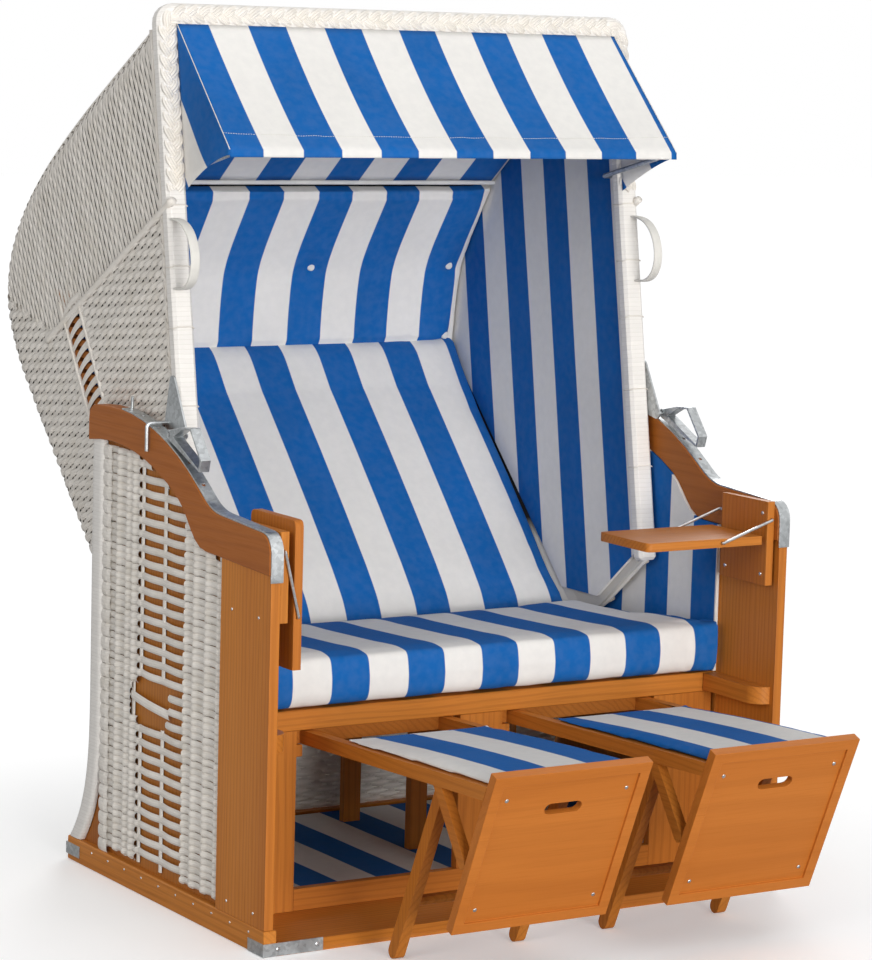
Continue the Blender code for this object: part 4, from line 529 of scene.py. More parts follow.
def build_side_weave(name, side):
    lies_on = covers("inner_wall_" + name)
    chart = side_chart(side)
    weave = Strands()
    stakes = np.array(SIDE_STAKES)
    u_all = np.arange(BOARD_D + 0.002, STILE_D + 0.003, 0.0045)
    near = np.exp(-((u_all[:, None] - stakes[None]) / 0.0085) ** 2).max(1)
    open_zone = (u_all > SLOT_COLUMNS[0][0] - 0.001) & (u_all < SLOT_COLUMNS[1][1] + 0.003)
    for row in range(int((1.0 - SIDE_FIRST) / SIDE_PITCH)):
        z = SIDE_FIRST + (row + 0.5) * SIDE_PITCH
        wander = 0.0006 * np.sin(u_all * 31 + row * 1.9)
        mask = lies_on(u_all, z + SIDE_PITCH * 0.45) & lies_on(u_all, z - SIDE_PITCH * 0.45)
        mask &= ~in_polygon(u_all, z, HOLD)
        if row % 2:
            mask &= ~open_zone
        width = np.where(open_zone, 0.0156, 0.0136 + 0.0010 * near)
        arch = np.zeros_like(u_all)
        for low, high in SLOT_COLUMNS:
            share = np.clip((u_all - low) / (high - low), 0, 1)
            arch += np.where((share > 0) & (share < 1), np.sin(share * math.pi), 0.0)
        lift = np.where(open_zone, 0.0070 + 0.0035 * arch, 0.0062 + 0.0062 * near)
        lift += 0.0004 * np.sin(u_all * 90 + row * 2.7)
        for a, b in runs(mask):
            weave.band(chart, u_all[a:b], z + wander[a:b], width[a:b], lift[a:b], 0.0042)
    z_all = np.arange(SIDE_FIRST, 0.98, 0.012)
    for stake in SIDE_STAKES:
        for a, b in runs(lies_on(stake, z_all) & ~in_polygon(stake, z_all, HOLD)):
            weave.band(chart, stake, z_all[a:b], 0.013, 0.0052, 0.0030, turned=True)
    # Blocks of wide cane beside the stile, and the strap of the hand hold
    block_u = np.linspace(STILE_D - 0.036, STILE_D + 0.003, 8)
    arch = np.sin(np.linspace(0, 1, len(block_u)) * math.pi)
    for k in range(int(0.92 / BLOCK_PITCH)):
        z = SIDE_FIRST + (k + 0.5) * BLOCK_PITCH
        if lies_on(block_u, z + BLOCK_PITCH / 2).all():
            weave.band(chart, block_u, z, BLOCK_PITCH - 0.0014, 0.0098 + 0.0024 * arch, 0.0032)
    strap_u = np.linspace(HOLD_BOX[0] - 0.004, HOLD_BOX[1] + 0.006, 20)
    share = np.linspace(0, 1, len(strap_u))
    weave.band(chart, strap_u, 0.384 + 0.014 * share, 0.0190, 0.0085 + 0.0045 * np.sin(share * math.pi), 0.0030)
    weave.build("woven_side_" + name, "wicker", "base", "wicker", ("wicker_side_" + name,))
    build_stile(name, side)


def rear_edge(z):
    bent = FOOT_REACH * (np.clip((REAR_TOP - z) / (REAR_TOP - RAIL_HEIGHT), 0, 1)) ** REAR_CURL
    return BASE_DEPTH + bent


def build_stile(name, side):
    """The wide wound stile at the rear edge, rounded over the corner."""
    z = np.arange(RAIL_HEIGHT + 0.001, STILE_TOP, 0.008)
    back = rear_edge(z)
    front = STILE_D + (back - BASE_DEPTH)
    outer = side * (SIDE_X - 0.0005)
    rings = []
    for share in np.linspace(0, 1, 7):
        d = front + (back - 0.004 - front) * share
        swell = 0.0035 * (1 - (2 * share - 1) ** 6)
        rings.append(at(outer - side * (0.0035 - swell), d, z))
    rings.append(at(outer - side * 0.006, back + 0.0005, z))
    rings.append(at(outer - side * 0.026, back + 0.0015, z))
    rings.insert(0, at(side * (SKIN_IN + 0.001), front - 0.001, z))
    surface = np.stack(rings, 1)
    stile = mesh_object("wound_stile_" + name, surface.reshape(-1, 3), grid_faces(*surface.shape[:2]))
    give(stile, "wrap_z")
    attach(stile, "base")


def build_rear_weave():
    """The woven back of the base: staggered bands over upright stakes, seen from both sides."""
    path_z = np.linspace(RAIL_HEIGHT + 0.0005, REAR_TOP - 0.004, 80)
    path_d = rear_edge(path_z)
    reach = np.r_[0, np.cumsum(np.hypot(np.diff(path_z), np.diff(path_d)))]
    slope = np.gradient(path_d, reach), np.gradient(path_z, reach)

    def chart(u, v):
        d = np.interp(v, reach, path_d) - REAR_INSIDE / 2
        z = np.interp(v, reach, path_z)
        td, tz = np.interp(v, reach, slope[0]), np.interp(v, reach, slope[1])
        return at(u, d, z), np.stack([np.zeros_like(v), tz, -td], -1)

    weave = Strands()
    pitch, stake = 0.0125, 0.034
    u = np.arange(-0.5770, 0.5775, stake / 5)
    for row in range(int(reach[-1] / pitch)):
        v = (row + 0.5) * pitch + 0.0005 * np.sin(u * 23 + row)
        wave = np.cos(math.pi * (u / stake + row))
        for face in (1, -1):
            lift = face * 0.0026 * wave + face * 0.0012
            weave.band(chart, u, v, 0.0118 + 0.0006 * wave * face, lift, 0.0024 * face)
    v = np.arange(0.0, reach[-1], 0.012)
    for x in np.arange(-17, 18) * stake:
        if abs(x) < 0.5775:
            for face in (1, -1):
                weave.band(chart, x, v, 0.012, face * 0.0012, 0.0018 * face, turned=True)
    weave.tube(at(np.linspace(-0.577, 0.577, 40), BASE_DEPTH - REAR_INSIDE / 2, REAR_TOP - 0.006), 0.0058)
    weave.build("woven_rear", "wicker", "base", "wicker", ("wicker_rear",))


# Hood weave

def hood_profile():
    parts = [np.array([ROOF_START]), bend(ROOF_KNEE, HOOD_BACK, ROOF_SHARES, 26),
             bend(HOOD_BACK, HOOD_HIP, HIP_SHARES, 14)[1:], np.array([HOOD_TAIL])]
    chain = resampled(np.concatenate(parts), 0.008)
    for _ in range(3):
        chain[1:-1] = (chain[:-2] + 2 * chain[1:-1] + chain[2:]) / 4
    return chain


CHAIN = hood_profile()
CHAIN_REACH = np.r_[0, np.cumsum(np.linalg.norm(np.diff(CHAIN, axis=0), axis=1))]
CHAIN_AHEAD = np.gradient(CHAIN, CHAIN_REACH, axis=0)
CHAIN_AHEAD /= np.linalg.norm(CHAIN_AHEAD, axis=1)[:, None]
CHAIN_OUT = np.stack([-CHAIN_AHEAD[:, 1], CHAIN_AHEAD[:, 0]], 1)
FRONT_BACK = (RIM_DEPTH * math.cos(RIM_LEAN), -RIM_DEPTH * math.sin(RIM_LEAN))
FRONT_LOW = (RIM_LOW[0] + FRONT_BACK[0], RIM_LOW[1] + FRONT_BACK[1])
FRONT_TOP = (RIM_TOP[0] + FRONT_BACK[0], RIM_TOP[1] + FRONT_BACK[1])
SHELL_SIDE = np.concatenate([[FRONT_TOP], CHAIN[3:], [TONGUE_TOP], [FRONT_LOW]])
SKIN_LIFT = 0.0022


def depth_in(d, z):
    """How far a point of the side lies inside the hood's profile, with the outward direction there."""
    best = np.full(np.shape(d), 9.0)
    out = np.zeros(np.shape(d) + (2,))
    for k in range(0, len(CHAIN) - 1, 2):
        a, b = CHAIN[k], CHAIN[min(k + 2, len(CHAIN) - 1)]
        span = b - a
        t = np.clip(((d - a[0]) * span[0] + (z - a[1]) * span[1]) / (span @ span), 0, 1)
        off = np.hypot(d - a[0] - span[0] * t, z - a[1] - span[1] * t)
        nearer = off < best
        best = np.where(nearer, off, best)
        out[nearer] = CHAIN_OUT[min(k + 1, len(CHAIN) - 1)]
    return best, out


def hood_side_chart(side, origin, ahead):
    """u runs along a direction of the side, v square to it; near the profile the surface rounds inwards."""
    across = (-ahead[1], ahead[0])

    def chart(u, v):
        d = origin[0] + ahead[0] * u + across[0] * v
        z = origin[1] + ahead[1] * u + across[1] * v
        depth, out = depth_in(d, z)
        near = np.clip(1 - depth / SHELL_CORNER, 0, 1)
        fall = SHELL_CORNER * (1 - np.sqrt(1 - near ** 2))
        sideways = np.sqrt(1 - near ** 2)
        point = at(side * (SHELL_X - fall), d, z)
        normal = np.stack([side * sideways, out[..., 0] * near, out[..., 1] * near], -1)
        return point, normal
    return chart


def plane_of(chart_origin, ahead, u, v):
    return (chart_origin[0] + ahead[0] * u - ahead[1] * v, chart_origin[1] + ahead[1] * u + ahead[0] * v)


RIB_AHEAD = np.array(RIB_END) - np.array(RIB_START)
RIB_AHEAD = tuple(RIB_AHEAD / np.linalg.norm(RIB_AHEAD))
RIB_UP = (-RIB_AHEAD[1], RIB_AHEAD[0])
RIB_LENGTH = math.dist(RIB_START, RIB_END)
CORNER_LIMIT = SHELL_CORNER * (1 - math.sin(math.radians(50)))


def side_mask(d, z):
    depth, _ = depth_in(d, z)
    return in_polygon(d, z, SHELL_SIDE) & (depth > CORNER_LIMIT)


def dome_zone(d, z, grow=0.0):
    """The open weave above the rib; behind the rib's end the dense weave comes up to it."""
    off_d, off_z = d - RIB_START[0], z - RIB_START[1]
    along = off_d * RIB_AHEAD[0] + off_z * RIB_AHEAD[1]
    up = off_d * RIB_UP[0] + off_z * RIB_UP[1]
    return up > 0.004 - grow + 0.9 * np.maximum(0.0, along - RIB_LENGTH + 0.015 - grow)


def column_off(d, z):
    """How far a point lies behind the middle line of the open column."""
    return d - VENT_LOW[0] - (z - VENT_LOW[1]) * VENT_SLOPE


def build_hood_side(name, side):
    weave = Strands()
    # Upper dome: bands square to the rib, drawn together in turn so that long gaps open between them
    chart = hood_side_chart(side, RIB_START, RIB_UP)
    pitch, step = 0.0134, 0.021
    u = np.arange(0.004, 0.62, 0.005)
    for k in range(-36, 62):
        swing = (-1) ** k * np.cos(math.pi * u / step)
        v = -k * pitch + 0.0034 * swing + 0.0008 * np.sin(u * 9 + k * 0.7)
        d, z = plane_of(RIB_START, RIB_UP, u, v)
        mask = side_mask(d, z) & dome_zone(d, z, 0.012)
        lift = SKIN_LIFT + 0.0012 + 0.0016 * swing
        for a, b in runs(mask):
            weave.band(chart, u[a:b], v[a:b], pitch - 0.0028, lift[a:b], 0.0022)
    # Lower part: dense staggered bands that run down with the rib
    chart = hood_side_chart(side, RIB_START, RIB_AHEAD)
    pitch, stake = 0.0122, 0.027
    u = np.arange(-0.52, 1.05, stake / 5)
    for k in range(-34, 78):
        wave = np.cos(math.pi * (u / stake + k))
        v = -0.004 - k * pitch + 0.0007 * np.sin(u * 17 + k)
        d, z = plane_of(RIB_START, RIB_AHEAD, u, v)
        mask = side_mask(d, z) & ~dome_zone(d, z)
        mask &= ~((np.abs(column_off(d, z)) < 0.044) & (z > 0.915) & (z < 1.170))
        lift = SKIN_LIFT + 0.0008 + 0.0030 * np.clip(wave + 0.35, 0, 1.3)
        width = 0.0122 + 0.0010 * wave
        for a, b in runs(mask):
            weave.band(chart, u[a:b], v[a:b], width[a:b], lift[a:b], 0.0026)
    v_all = np.arange(-0.94, 0.40, 0.010)
    for j in range(-19, 38):
        d, z = plane_of(RIB_START, RIB_AHEAD, j * stake, v_all)
        mask = side_mask(d, z) & ~dome_zone(d, z)
        mask &= ~((np.abs(column_off(d, z)) < 0.041) & (z > 0.92) & (z < 1.165))
        for a, b in runs(mask):
            weave.band(chart, j * stake, v_all[a:b], 0.010, SKIN_LIFT, 0.0016, turned=True)
    build_open_column(weave, side)
    # Wound ribs: along the diagonal, down the open column and where the side meets the roof
    rib = [plane_of(RIB_START, RIB_AHEAD, t, 0.0) for t in np.linspace(-0.02, RIB_LENGTH + 0.03, 60)]
    weave.tube([at(side * (SHELL_X + SKIN_LIFT - 0.001), d, z) for d, z in rib], 0.0088, 10, 0.9)
    for shift in (-COLUMN_HALF, COLUMN_HALF):
        z = np.linspace(0.905, 1.150, 24)
        d = VENT_LOW[0] + (z - VENT_LOW[1]) * VENT_SLOPE + shift
        weave.tube(at(side * (SHELL_X + SKIN_LIFT), d, z), 0.0052)
    near = 1 - CORNER_LIMIT / SHELL_CORNER
    fall = SHELL_CORNER * (1 - math.sqrt(1 - near ** 2))
    edge = []
    for k in range(4, len(CHAIN)):
        d, z = CHAIN[k] - CHAIN_OUT[k] * (CORNER_LIMIT - 0.002)
        edge.append((side * (SHELL_X - fall + 0.001), d - HALF_DEPTH, z))
    weave.tube(edge, 0.0062)
    low = resampled([HOOD_TAIL, TONGUE_TOP, FRONT_LOW], 0.02)
    weave.tube(at(side * (SHELL_X - 0.002), low[:, 0], low[:, 1] + 0.006), 0.0075)
    front = resampled([FRONT_LOW, (FRONT_TOP[0] - 0.050 * math.sin(RIM_LEAN), FRONT_TOP[1] - 0.050)], 0.03)
    weave.tube(at(side * (SHELL_X - 0.001), front[:, 0] + 0.007, front[:, 1]), 0.0065)
    weave.build("woven_hood_" + name, "wicker", "hood", "wicker")


def build_open_column(weave, side):
    """Arched bands across the open column, between its slots."""
    share = np.linspace(0, 1, 12)
    for k in range(10):
        place = (k - 0.5) / 8
        d0 = VENT_LOW[0] + (VENT_TOP[0] - VENT_LOW[0]) * place
        z0 = VENT_LOW[1] + (VENT_TOP[1] - VENT_LOW[1]) * place
        u = -COLUMN_HALF + 2 * COLUMN_HALF * share

        def chart(a, b, d0=d0, z0=z0):
            rise = -0.75 * a + 0.010 * np.cos(a / COLUMN_HALF * math.pi / 2)
            point = at(side * (SHELL_X + SKIN_LIFT), d0 + a, z0 + rise + b)
            return point, np.broadcast_to(np.array((float(side), 0.0, 0.0)), point.shape)

        arch = np.sin(share * math.pi)
        weave.band(chart, u, 0.0, 0.0185 - 0.002 * (1 - arch), 0.0010 + 0.0035 * arch, 0.0028)


def roof_chart(u, v):
    """u across from the middle, v along the profile from the rim: the roof, back and their rounded edges."""
    flat = SHELL_X - SHELL_CORNER
    turn = np.clip((np.abs(u) - flat) / SHELL_CORNER, 0, math.pi / 2)
    x = np.sign(u) * np.where(np.abs(u) <= flat, np.abs(u), flat + SHELL_CORNER * np.sin(turn))
    inset = SHELL_CORNER * (1 - np.cos(turn))
    d = np.interp(v, CHAIN_REACH, CHAIN[:, 0])
    z = np.interp(v, CHAIN_REACH, CHAIN[:, 1])
    nd = np.interp(v, CHAIN_REACH, CHAIN_OUT[:, 0])
    nz = np.interp(v, CHAIN_REACH, CHAIN_OUT[:, 1])
    point = at(x, d - nd * inset, z - nz * inset)
    normal = np.stack([np.sign(u) * np.sin(turn), nd * np.cos(turn), nz * np.cos(turn)], -1)
    return point, normal


def build_roof():
    weave = Strands()
    reach = SHELL_X - SHELL_CORNER + SHELL_CORNER * math.radians(52)
    pitch, stake = 0.0125, 0.036
    u = np.linspace(-reach, reach, int(2 * reach / (stake / 4)))
    start = 0.020
    for row in range(int((CHAIN_REACH[-1] - start) / pitch)):
        v = start + (row + 0.5) * pitch + 0.0006 * np.sin(u * 19 + row * 1.3)
        wave = np.cos(math.pi * (u / stake + row))
        lift = SKIN_LIFT + 0.0008 + 0.0030 * np.clip(wave + 0.35, 0, 1.3)
        weave.band(roof_chart, u, v, 0.0120 + 0.0011 * wave, lift, 0.0026)
    v = np.arange(start, CHAIN_REACH[-1], 0.014)
    for j in range(-14, 15):
        weave.band(roof_chart, j * stake, v, 0.012, SKIN_LIFT, 0.0016, turned=True)
    ends = np.linspace(-reach, reach, 60)
    for place, size in ((CHAIN_REACH[-1] - 0.004, 0.0075), (0.026, 0.0065)):
        point, normal = roof_chart(ends, place)
        weave.tube(point + normal * 0.001, size)
    weave.build("woven_roof", "wicker", "hood", "wicker")


# Rim

def rim_place(u, v, w):
    d = RIM_LOW[0] + v * math.sin(RIM_LEAN) + w * math.cos(RIM_LEAN)
    z = RIM_LOW[1] + v * math.cos(RIM_LEAN) - w * math.sin(RIM_LEAN)
    return at(u, d, z)


RIM_LENGTH = math.dist(RIM_LOW, RIM_TOP)
BRAID_LOW = 0.790


def braid_path():
    """The line in the rim's face that the braid follows: up one side, across the top and down the other."""
    middle = RIM_X - RIM_WIDTH / 2
    top = RIM_LENGTH - 0.0235
    radius = 0.030
    left = [(-middle, v) for v in np.arange(BRAID_LOW, top - radius, 0.004)]
    turn = np.linspace(math.pi, math.pi / 2, 12)
    corner = [(-middle + radius + radius * math.cos(t), top - radius + radius * math.sin(t)) for t in turn]
    across = [(u, top) for u in np.arange(-middle + radius + 0.004, middle - radius, 0.004)]
    half = left + corner + across
    mirrored = [(-u, v) for u, v in reversed(left + corner)]
    return resampled(half + mirrored, 0.004)


def build_rim():
    path = braid_path()
    ahead = np.gradient(path, axis=0)
    ahead /= np.linalg.norm(ahead, axis=1)[:, None]
    side = np.stack([ahead[:, 1], -ahead[:, 0]], 1)
    reach = np.r_[0, np.cumsum(np.linalg.norm(np.diff(path, axis=0), axis=1))]
    weave = Strands()
    period = 0.084
    for strand in range(3):
        turn = math.tau * (reach / period + strand / 3)
        swing = 0.0122 * np.sin(turn)
        rise = 0.0038 * np.sin(2 * turn)
        centre = path + side * swing[:, None]
        heading = np.gradient(centre, axis=0)
        heading /= np.linalg.norm(heading, axis=1)[:, None]
        across = np.stack([heading[:, 1], -heading[:, 0]], 1)
        for cane in (-1, 0, 1):
            offset = centre + across * (cane * 0.0054)
            round_off = 0.0012 * abs(cane)
            around = np.linspace(0, math.tau, 8, endpoint=False)
            rings = []
            for t in around:
                flat = offset + across * (0.0035 * math.cos(t))
                depth = 0.0010 - rise + round_off - 0.0030 * math.sin(t)
                rings.append(rim_place(flat[:, 0], flat[:, 1], depth))
            weave.put(np.stack(rings, 1), True, reach)
    weave.build("rim_braid", "wicker", "hood", "wicker")
    rings = Strands()
    middle = RIM_X - RIM_WIDTH / 2
    outline = []
    half_w, half_d, corner = RIM_WIDTH / 2 + 0.0006, RIM_DEPTH / 2 + 0.0006, 0.0075
    for quarter in range(4):
        cu = (half_w - corner) * (1 if quarter in (0, 3) else -1)
        cw = (half_d - corner) * (1 if quarter < 2 else -1)
        for t in np.linspace(quarter, quarter + 1, 5) * math.pi / 2:
            outline.append((cu + corner * math.cos(t), cw + corner * math.sin(t)))
    outline.append(outline[0])
    for side_of in (-1, 1):
        for v in (0.045, 0.200, 0.365, 0.520, 0.640, 0.760):
            rings.tube([rim_place(side_of * middle + u, v + 0.0015 * math.sin(k), w + RIM_DEPTH / 2)
                        for k, (u, w) in enumerate(outline)], 0.0014, 6)
    rings.build("rim_joints", "wicker", "hood", "wicker")


build_side_weave("left", -1)
build_side_weave("right", 1)
build_rear_weave()
build_hood_side("left", -1)
build_hood_side("right", 1)
build_roof()
build_rim()


# Carried-over wood and steel

def shade_smooth(mesh):
    mesh.polygons.foreach_set("use_smooth", np.ones(len(mesh.polygons), bool))


def soften(node, width):
    """Joins the CAD mesh's doubled corners and breaks its sharp edges, all in modifiers."""
    obj = NODES[node]
    weld = obj.modifiers.new("weld", "WELD")
    weld.merge_threshold = 0.00002
    bevel = obj.modifiers.new("broken_edges", "BEVEL")
    bevel.width = width
    bevel.segments = 2
    bevel.limit_method = "ANGLE"
    bevel.angle_limit = math.radians(32.0)
    bevel.harden_normals = True
    bevel.use_clamp_overlap = True
    mesh = obj.data
    shade_smooth(mesh)
    if "custom_normal" in mesh.attributes:
        mesh.attributes.remove(mesh.attributes["custom_normal"])


def dress(node, look, width):
    give(NODES[node], look)
    if width:
        soften(node, width)


WOODEN = {
    "seat_rail": ("wood_x0", 0.0025),
    "seat_board": ("ply", 0.001),
    "front_plank": ("wood_x1", 0.0),
    "front_sill": ("wood_x2", 0.0015),
    "centre_joist": ("wood_y1", 0.0015),
    "bottom_rail_rear": ("wood_x1", 0.002),
    "centre_frame": ("wood_z1", 0.0015),
}
for side_name, turn in (("left", 0), ("right", 1)):
    WOODEN.update({
        "side_board_" + side_name: (f"wood_z{turn}", 0.002),
        "armrest_" + side_name: ("arm", 0.0),
        "bottom_rail_" + side_name: (f"wood_y{turn + 1}", 0.002),
        "seat_post_" + side_name: (f"wood_z{turn + 1}", 0.0015),
        "side_cleat_" + side_name: (f"wood_y{turn}", 0.0015),
        "table_plate_" + side_name: (f"wood_z{turn + 1}", 0.0015),
        "footrest_frame_" + side_name: (f"wood_y{turn + 1}", 0.0015),
        "footrest_leg_" + side_name: (f"wood_z{turn}", 0.0015),
        "footrest_panel_" + side_name: ("ply", 0.001),
        "inner_wall_" + side_name: ("wall", 0.0),
    })
WOODEN["table_leaf_right"] = ("wood_x0", 0.0015)
WOODEN["table_leaf_left"] = ("wood_z2", 0.0015)
for node, (look, width) in WOODEN.items():
    dress(node, look, width)
for side_name in ("left", "right"):
    for node, width in (("armrest_band_", 0.0004), ("hood_hook_", 0.0006), ("lever_", 0.0012),
                        ("corner_bracket_front_", 0.0004), ("corner_bracket_rear_", 0.0004)):
        dress(node + side_name, "steel", width)
    dress("table_wire_" + side_name, "bright", 0.0)
dress("awning_bow", "steel", 0.0)
dress("lining_rod", "piping", 0.0)
dress("hood_rim", "wrap_rim", 0.0015)
dress("hood_shell", "inside", 0.0)


# Cushions and linings

def cad_copy(node, name):
    """A new object with a CAD solid's shape, its doubled corners joined."""
    bm = bmesh.new()
    bm.from_mesh(NODES[node].data)
    bmesh.ops.remove_doubles(bm, verts=bm.verts, dist=0.00002)
    mesh = bpy.data.meshes.new(name)
    bm.to_mesh(mesh)
    bm.free()
    made = bpy.data.objects.new(name, mesh)
    bpy.context.scene.collection.objects.link(made)
    return made


def settled(obj):
    """Puts what an object's modifiers make into its mesh."""
    graph = bpy.context.evaluated_depsgraph_get()
    mesh = bpy.data.meshes.new_from_object(obj.evaluated_get(graph))
    obj.modifiers.clear()
    obj.data = mesh
    mesh.name = obj.name
    return obj


def coords(mesh):
    found = np.empty(len(mesh.vertices) * 3, np.float32)
    mesh.vertices.foreach_get("co", found)
    return found.reshape(-1, 3).astype(float)


def set_coords(mesh, points):
    mesh.vertices.foreach_set("co", points.astype(np.float32).ravel())
    mesh.update()


def normals(mesh):
    found = np.empty(len(mesh.vertices) * 3, np.float32)
    mesh.vertex_normals.foreach_get("vector", found)
    return found.reshape(-1, 3).astype(float)


def stuffed(node, name, look, voxel, shrink, cap, body, fill, limits, shape=None):
    """A cushion from its CAD solid: evened out, smoothed and drawn in a little, ready to be blown up as cloth and
    smoothed once more.
    """
    made = cad_copy(node, name)
    even = made.modifiers.new("even", "REMESH")
    even.mode = "VOXEL"
    even.voxel_size = voxel
    settled(made)
    round_off = made.modifiers.new("round", "SMOOTH")
    round_off.factor = 0.5
    round_off.iterations = 4
    settled(made)
    start = coords(made.data)
    set_coords(made.data, start - normals(made.data) * shrink)
    give(made, look)
    return {"obj": made, "node": node, "body": body, "cap": cap, "fill": fill, "limits": limits, "shape": shape}


def inflate(pads, frames=20):
    """One cloth run for all the cushions, each point kept within its cap; then each fills its room again."""
    scene = bpy.context.scene
    starts = [coords(pad["obj"].data) for pad in pads]
    for pad in pads:
        cloth = pad["obj"].modifiers.new("cloth", "CLOTH").settings
        cloth.quality = 4
        cloth.mass = 0.3
        cloth.use_pressure = True
        cloth.uniform_pressure_force = 4.0
        cloth.tension_stiffness = 12.0
        cloth.compression_stiffness = 12.0
        cloth.shear_stiffness = 5.0
        cloth.bending_stiffness = 0.6
        cloth.effector_weights.gravity = 0.0
    for number in range(1, frames + 1):
        scene.frame_set(number)
        graph = bpy.context.evaluated_depsgraph_get()
        for pad in pads:
            pad["obj"].evaluated_get(graph).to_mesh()
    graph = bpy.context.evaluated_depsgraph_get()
    ends = [coords(pad["obj"].evaluated_get(graph).data) for pad in pads]
    for pad in pads:
        pad["obj"].modifiers.clear()
    scene.frame_set(1)
    for pad, start, end in zip(pads, starts, ends):
        move = end - start
        size = np.linalg.norm(move, axis=1)
        move *= np.minimum(1.0, pad["cap"] / np.maximum(size, 1e-9))[:, None]
        points = start + move
        if pad["shape"]:
            points = pad["shape"](points, normals(pad["obj"].data))
        low, high = (np.array(p) for p in pad["limits"])
        share = (points - points.min(0)) / (points.max(0) - points.min(0))
        points = low + share * (high - low)
        set_coords(pad["obj"].data, points)
        divide = pad["obj"].modifiers.new("finer", "SUBSURF")
        divide.levels = divide.render_levels = 1
        settled(pad["obj"])
        shade_smooth(pad["obj"].data)
        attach(pad["obj"], pad["body"])
        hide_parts(pad["node"])


def dip(points, out, centre, radius, depth):
    """Presses a round hollow into a cushion."""
    away = np.linalg.norm(points - np.array(centre), axis=1)
    return points - out * (depth * np.exp(-(away / radius) ** 2))[:, None]


BUTTONS = ((-0.240, 1.206), (0.124, 1.206), (0.489, 1.205), (0.500, 1.042), (-0.500, 1.042))
NECK_DOWN, BACK_UP = 0.008, 0.022
QUILT = 0.0012


def neck_line(z):
    return np.interp(z, (1.034, 1.200, 1.378), (1.178, 1.158, 1.040))


def shape_neck(points, out):
    for x, z in BUTTONS:
        points = dip(points, out, (x, neck_line(z) - HALF_DEPTH, z), 0.022, 0.007)
        points = points - out * (0.0012 * np.exp(-((points[:, 0] - x) / 0.006) ** 2
                                                 - ((points[:, 2] - z) / 0.05) ** 2))[:, None]
    points[:, 2] -= NECK_DOWN * np.clip((1.060 - points[:, 2]) / 0.030, 0, 1)
    return points


def shape_seat(points, out):
    """Slack folds near the front corners and a faint ripple along the front edge."""
    x, d = points[:, 0], points[:, 1] + HALF_DEPTH
    for side in (-1, 1):
        off_x, off_d = (side * x - 0.50), (d - 0.21)
        turn = np.arctan2(off_d, off_x)
        near = np.exp(-((off_x / 0.055) ** 2 + (off_d / 0.060) ** 2))
        points = points - out * (0.0028 * near * np.maximum(0, np.sin(turn * 5.0 + side)))[:, None]
    ripple = 0.0009 * np.sin(x * 61 + 2 * np.sin(x * 17)) * np.exp(-((d - 0.19) / 0.03) ** 2)
    return points + out * ripple[:, None]


def shape_back(points, out):
    x, z = points[:, 0], points[:, 2]
    ripple = 0.0010 * np.sin(x * 43 + 3 * np.sin(x * 11)) * np.exp(-((z - 0.52) / 0.035) ** 2)
    ripple += 0.0012 * np.sin(z * 37 + 2 * np.sin(z * 13)) * np.exp(-((np.abs(x) - 0.50) / 0.035) ** 2)
    points = points + out * ripple[:, None]
    points[:, 2] += BACK_UP * np.clip((points[:, 2] - 0.93) / 0.06, 0, 1)
    return points


def limits_of(node, down=0.0, up=0.0):
    low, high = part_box(node)
    return (low[0], low[1], low[2] - down), (high[0], high[1], high[2] + up)


def crosscut(made, step):
    """Cuts a mesh by even planes, so that it can be shaped."""
    bm = bmesh.new()
    bm.from_mesh(made.data)
    points = np.array([v.co[:] for v in bm.verts])
    for axis in range(3):
        low, high = points[:, axis].min(), points[:, axis].max()
        normal = [0.0, 0.0, 0.0]
        normal[axis] = 1.0
        for place in np.arange(low + step, high - step / 2, step):
            at_point = [0.0, 0.0, 0.0]
            at_point[axis] = place
            bmesh.ops.bisect_plane(bm, geom=bm.verts[:] + bm.edges[:] + bm.faces[:], dist=1e-6,
                                   plane_co=at_point, plane_no=normal)
    bm.normal_update()
    bm.to_mesh(made.data)
    bm.free()
    return made


def lining(node, name, body, looks, step):
    """Cloth over a thin pad on a panel: the CAD shape with soft waves."""
    made = crosscut(cad_copy(node, name), step)
    points, out = coords(made.data), normals(made.data)
    wave = np.sin(points[:, 0] * 21 + points[:, 2] * 9) * np.sin(points[:, 1] * 17 - points[:, 2] * 6)
    set_coords(made.data, points - out * (QUILT * (0.5 + 0.5 * wave))[:, None])
    made.data.materials.clear()
    for look in looks:
        made.data.materials.append(M[look])
    if len(looks) > 1:
        facing = np.empty(len(made.data.polygons) * 3, np.float32)
        made.data.polygons.foreach_get("normal", facing)
        side_on = np.abs(facing.reshape(-1, 3)[:, 0]) > 0.75
        made.data.polygons.foreach_set("material_index", np.where(side_on, 1, 0).astype(np.int32))
    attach(made, body)
    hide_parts(node)
    return made


def thickened(made, thickness):
    """Gives a sheet its thickness, half to each side."""
    solid = made.modifiers.new("thin", "SOLIDIFY")
    solid.thickness = thickness
    solid.offset = 0.0
    settled(made)
    shade_smooth(made.data)


def thin_sheet(name, points, columns, thickness, look):
    """A sheet of cloth from rows of points."""
    made = mesh_object(name, points, grid_faces(len(points) // columns, columns))
    thickened(made, thickness)
    return give(made, look)


# The roof's cloth runs along the lining, then straight down to the rod: depth and height of its line
ROOF_LINE = ((0.607, 1.729), (0.690, 1.680), (0.775, 1.629), (0.905, 1.514), (1.033, 1.405))
ROOF_HALF = 0.526


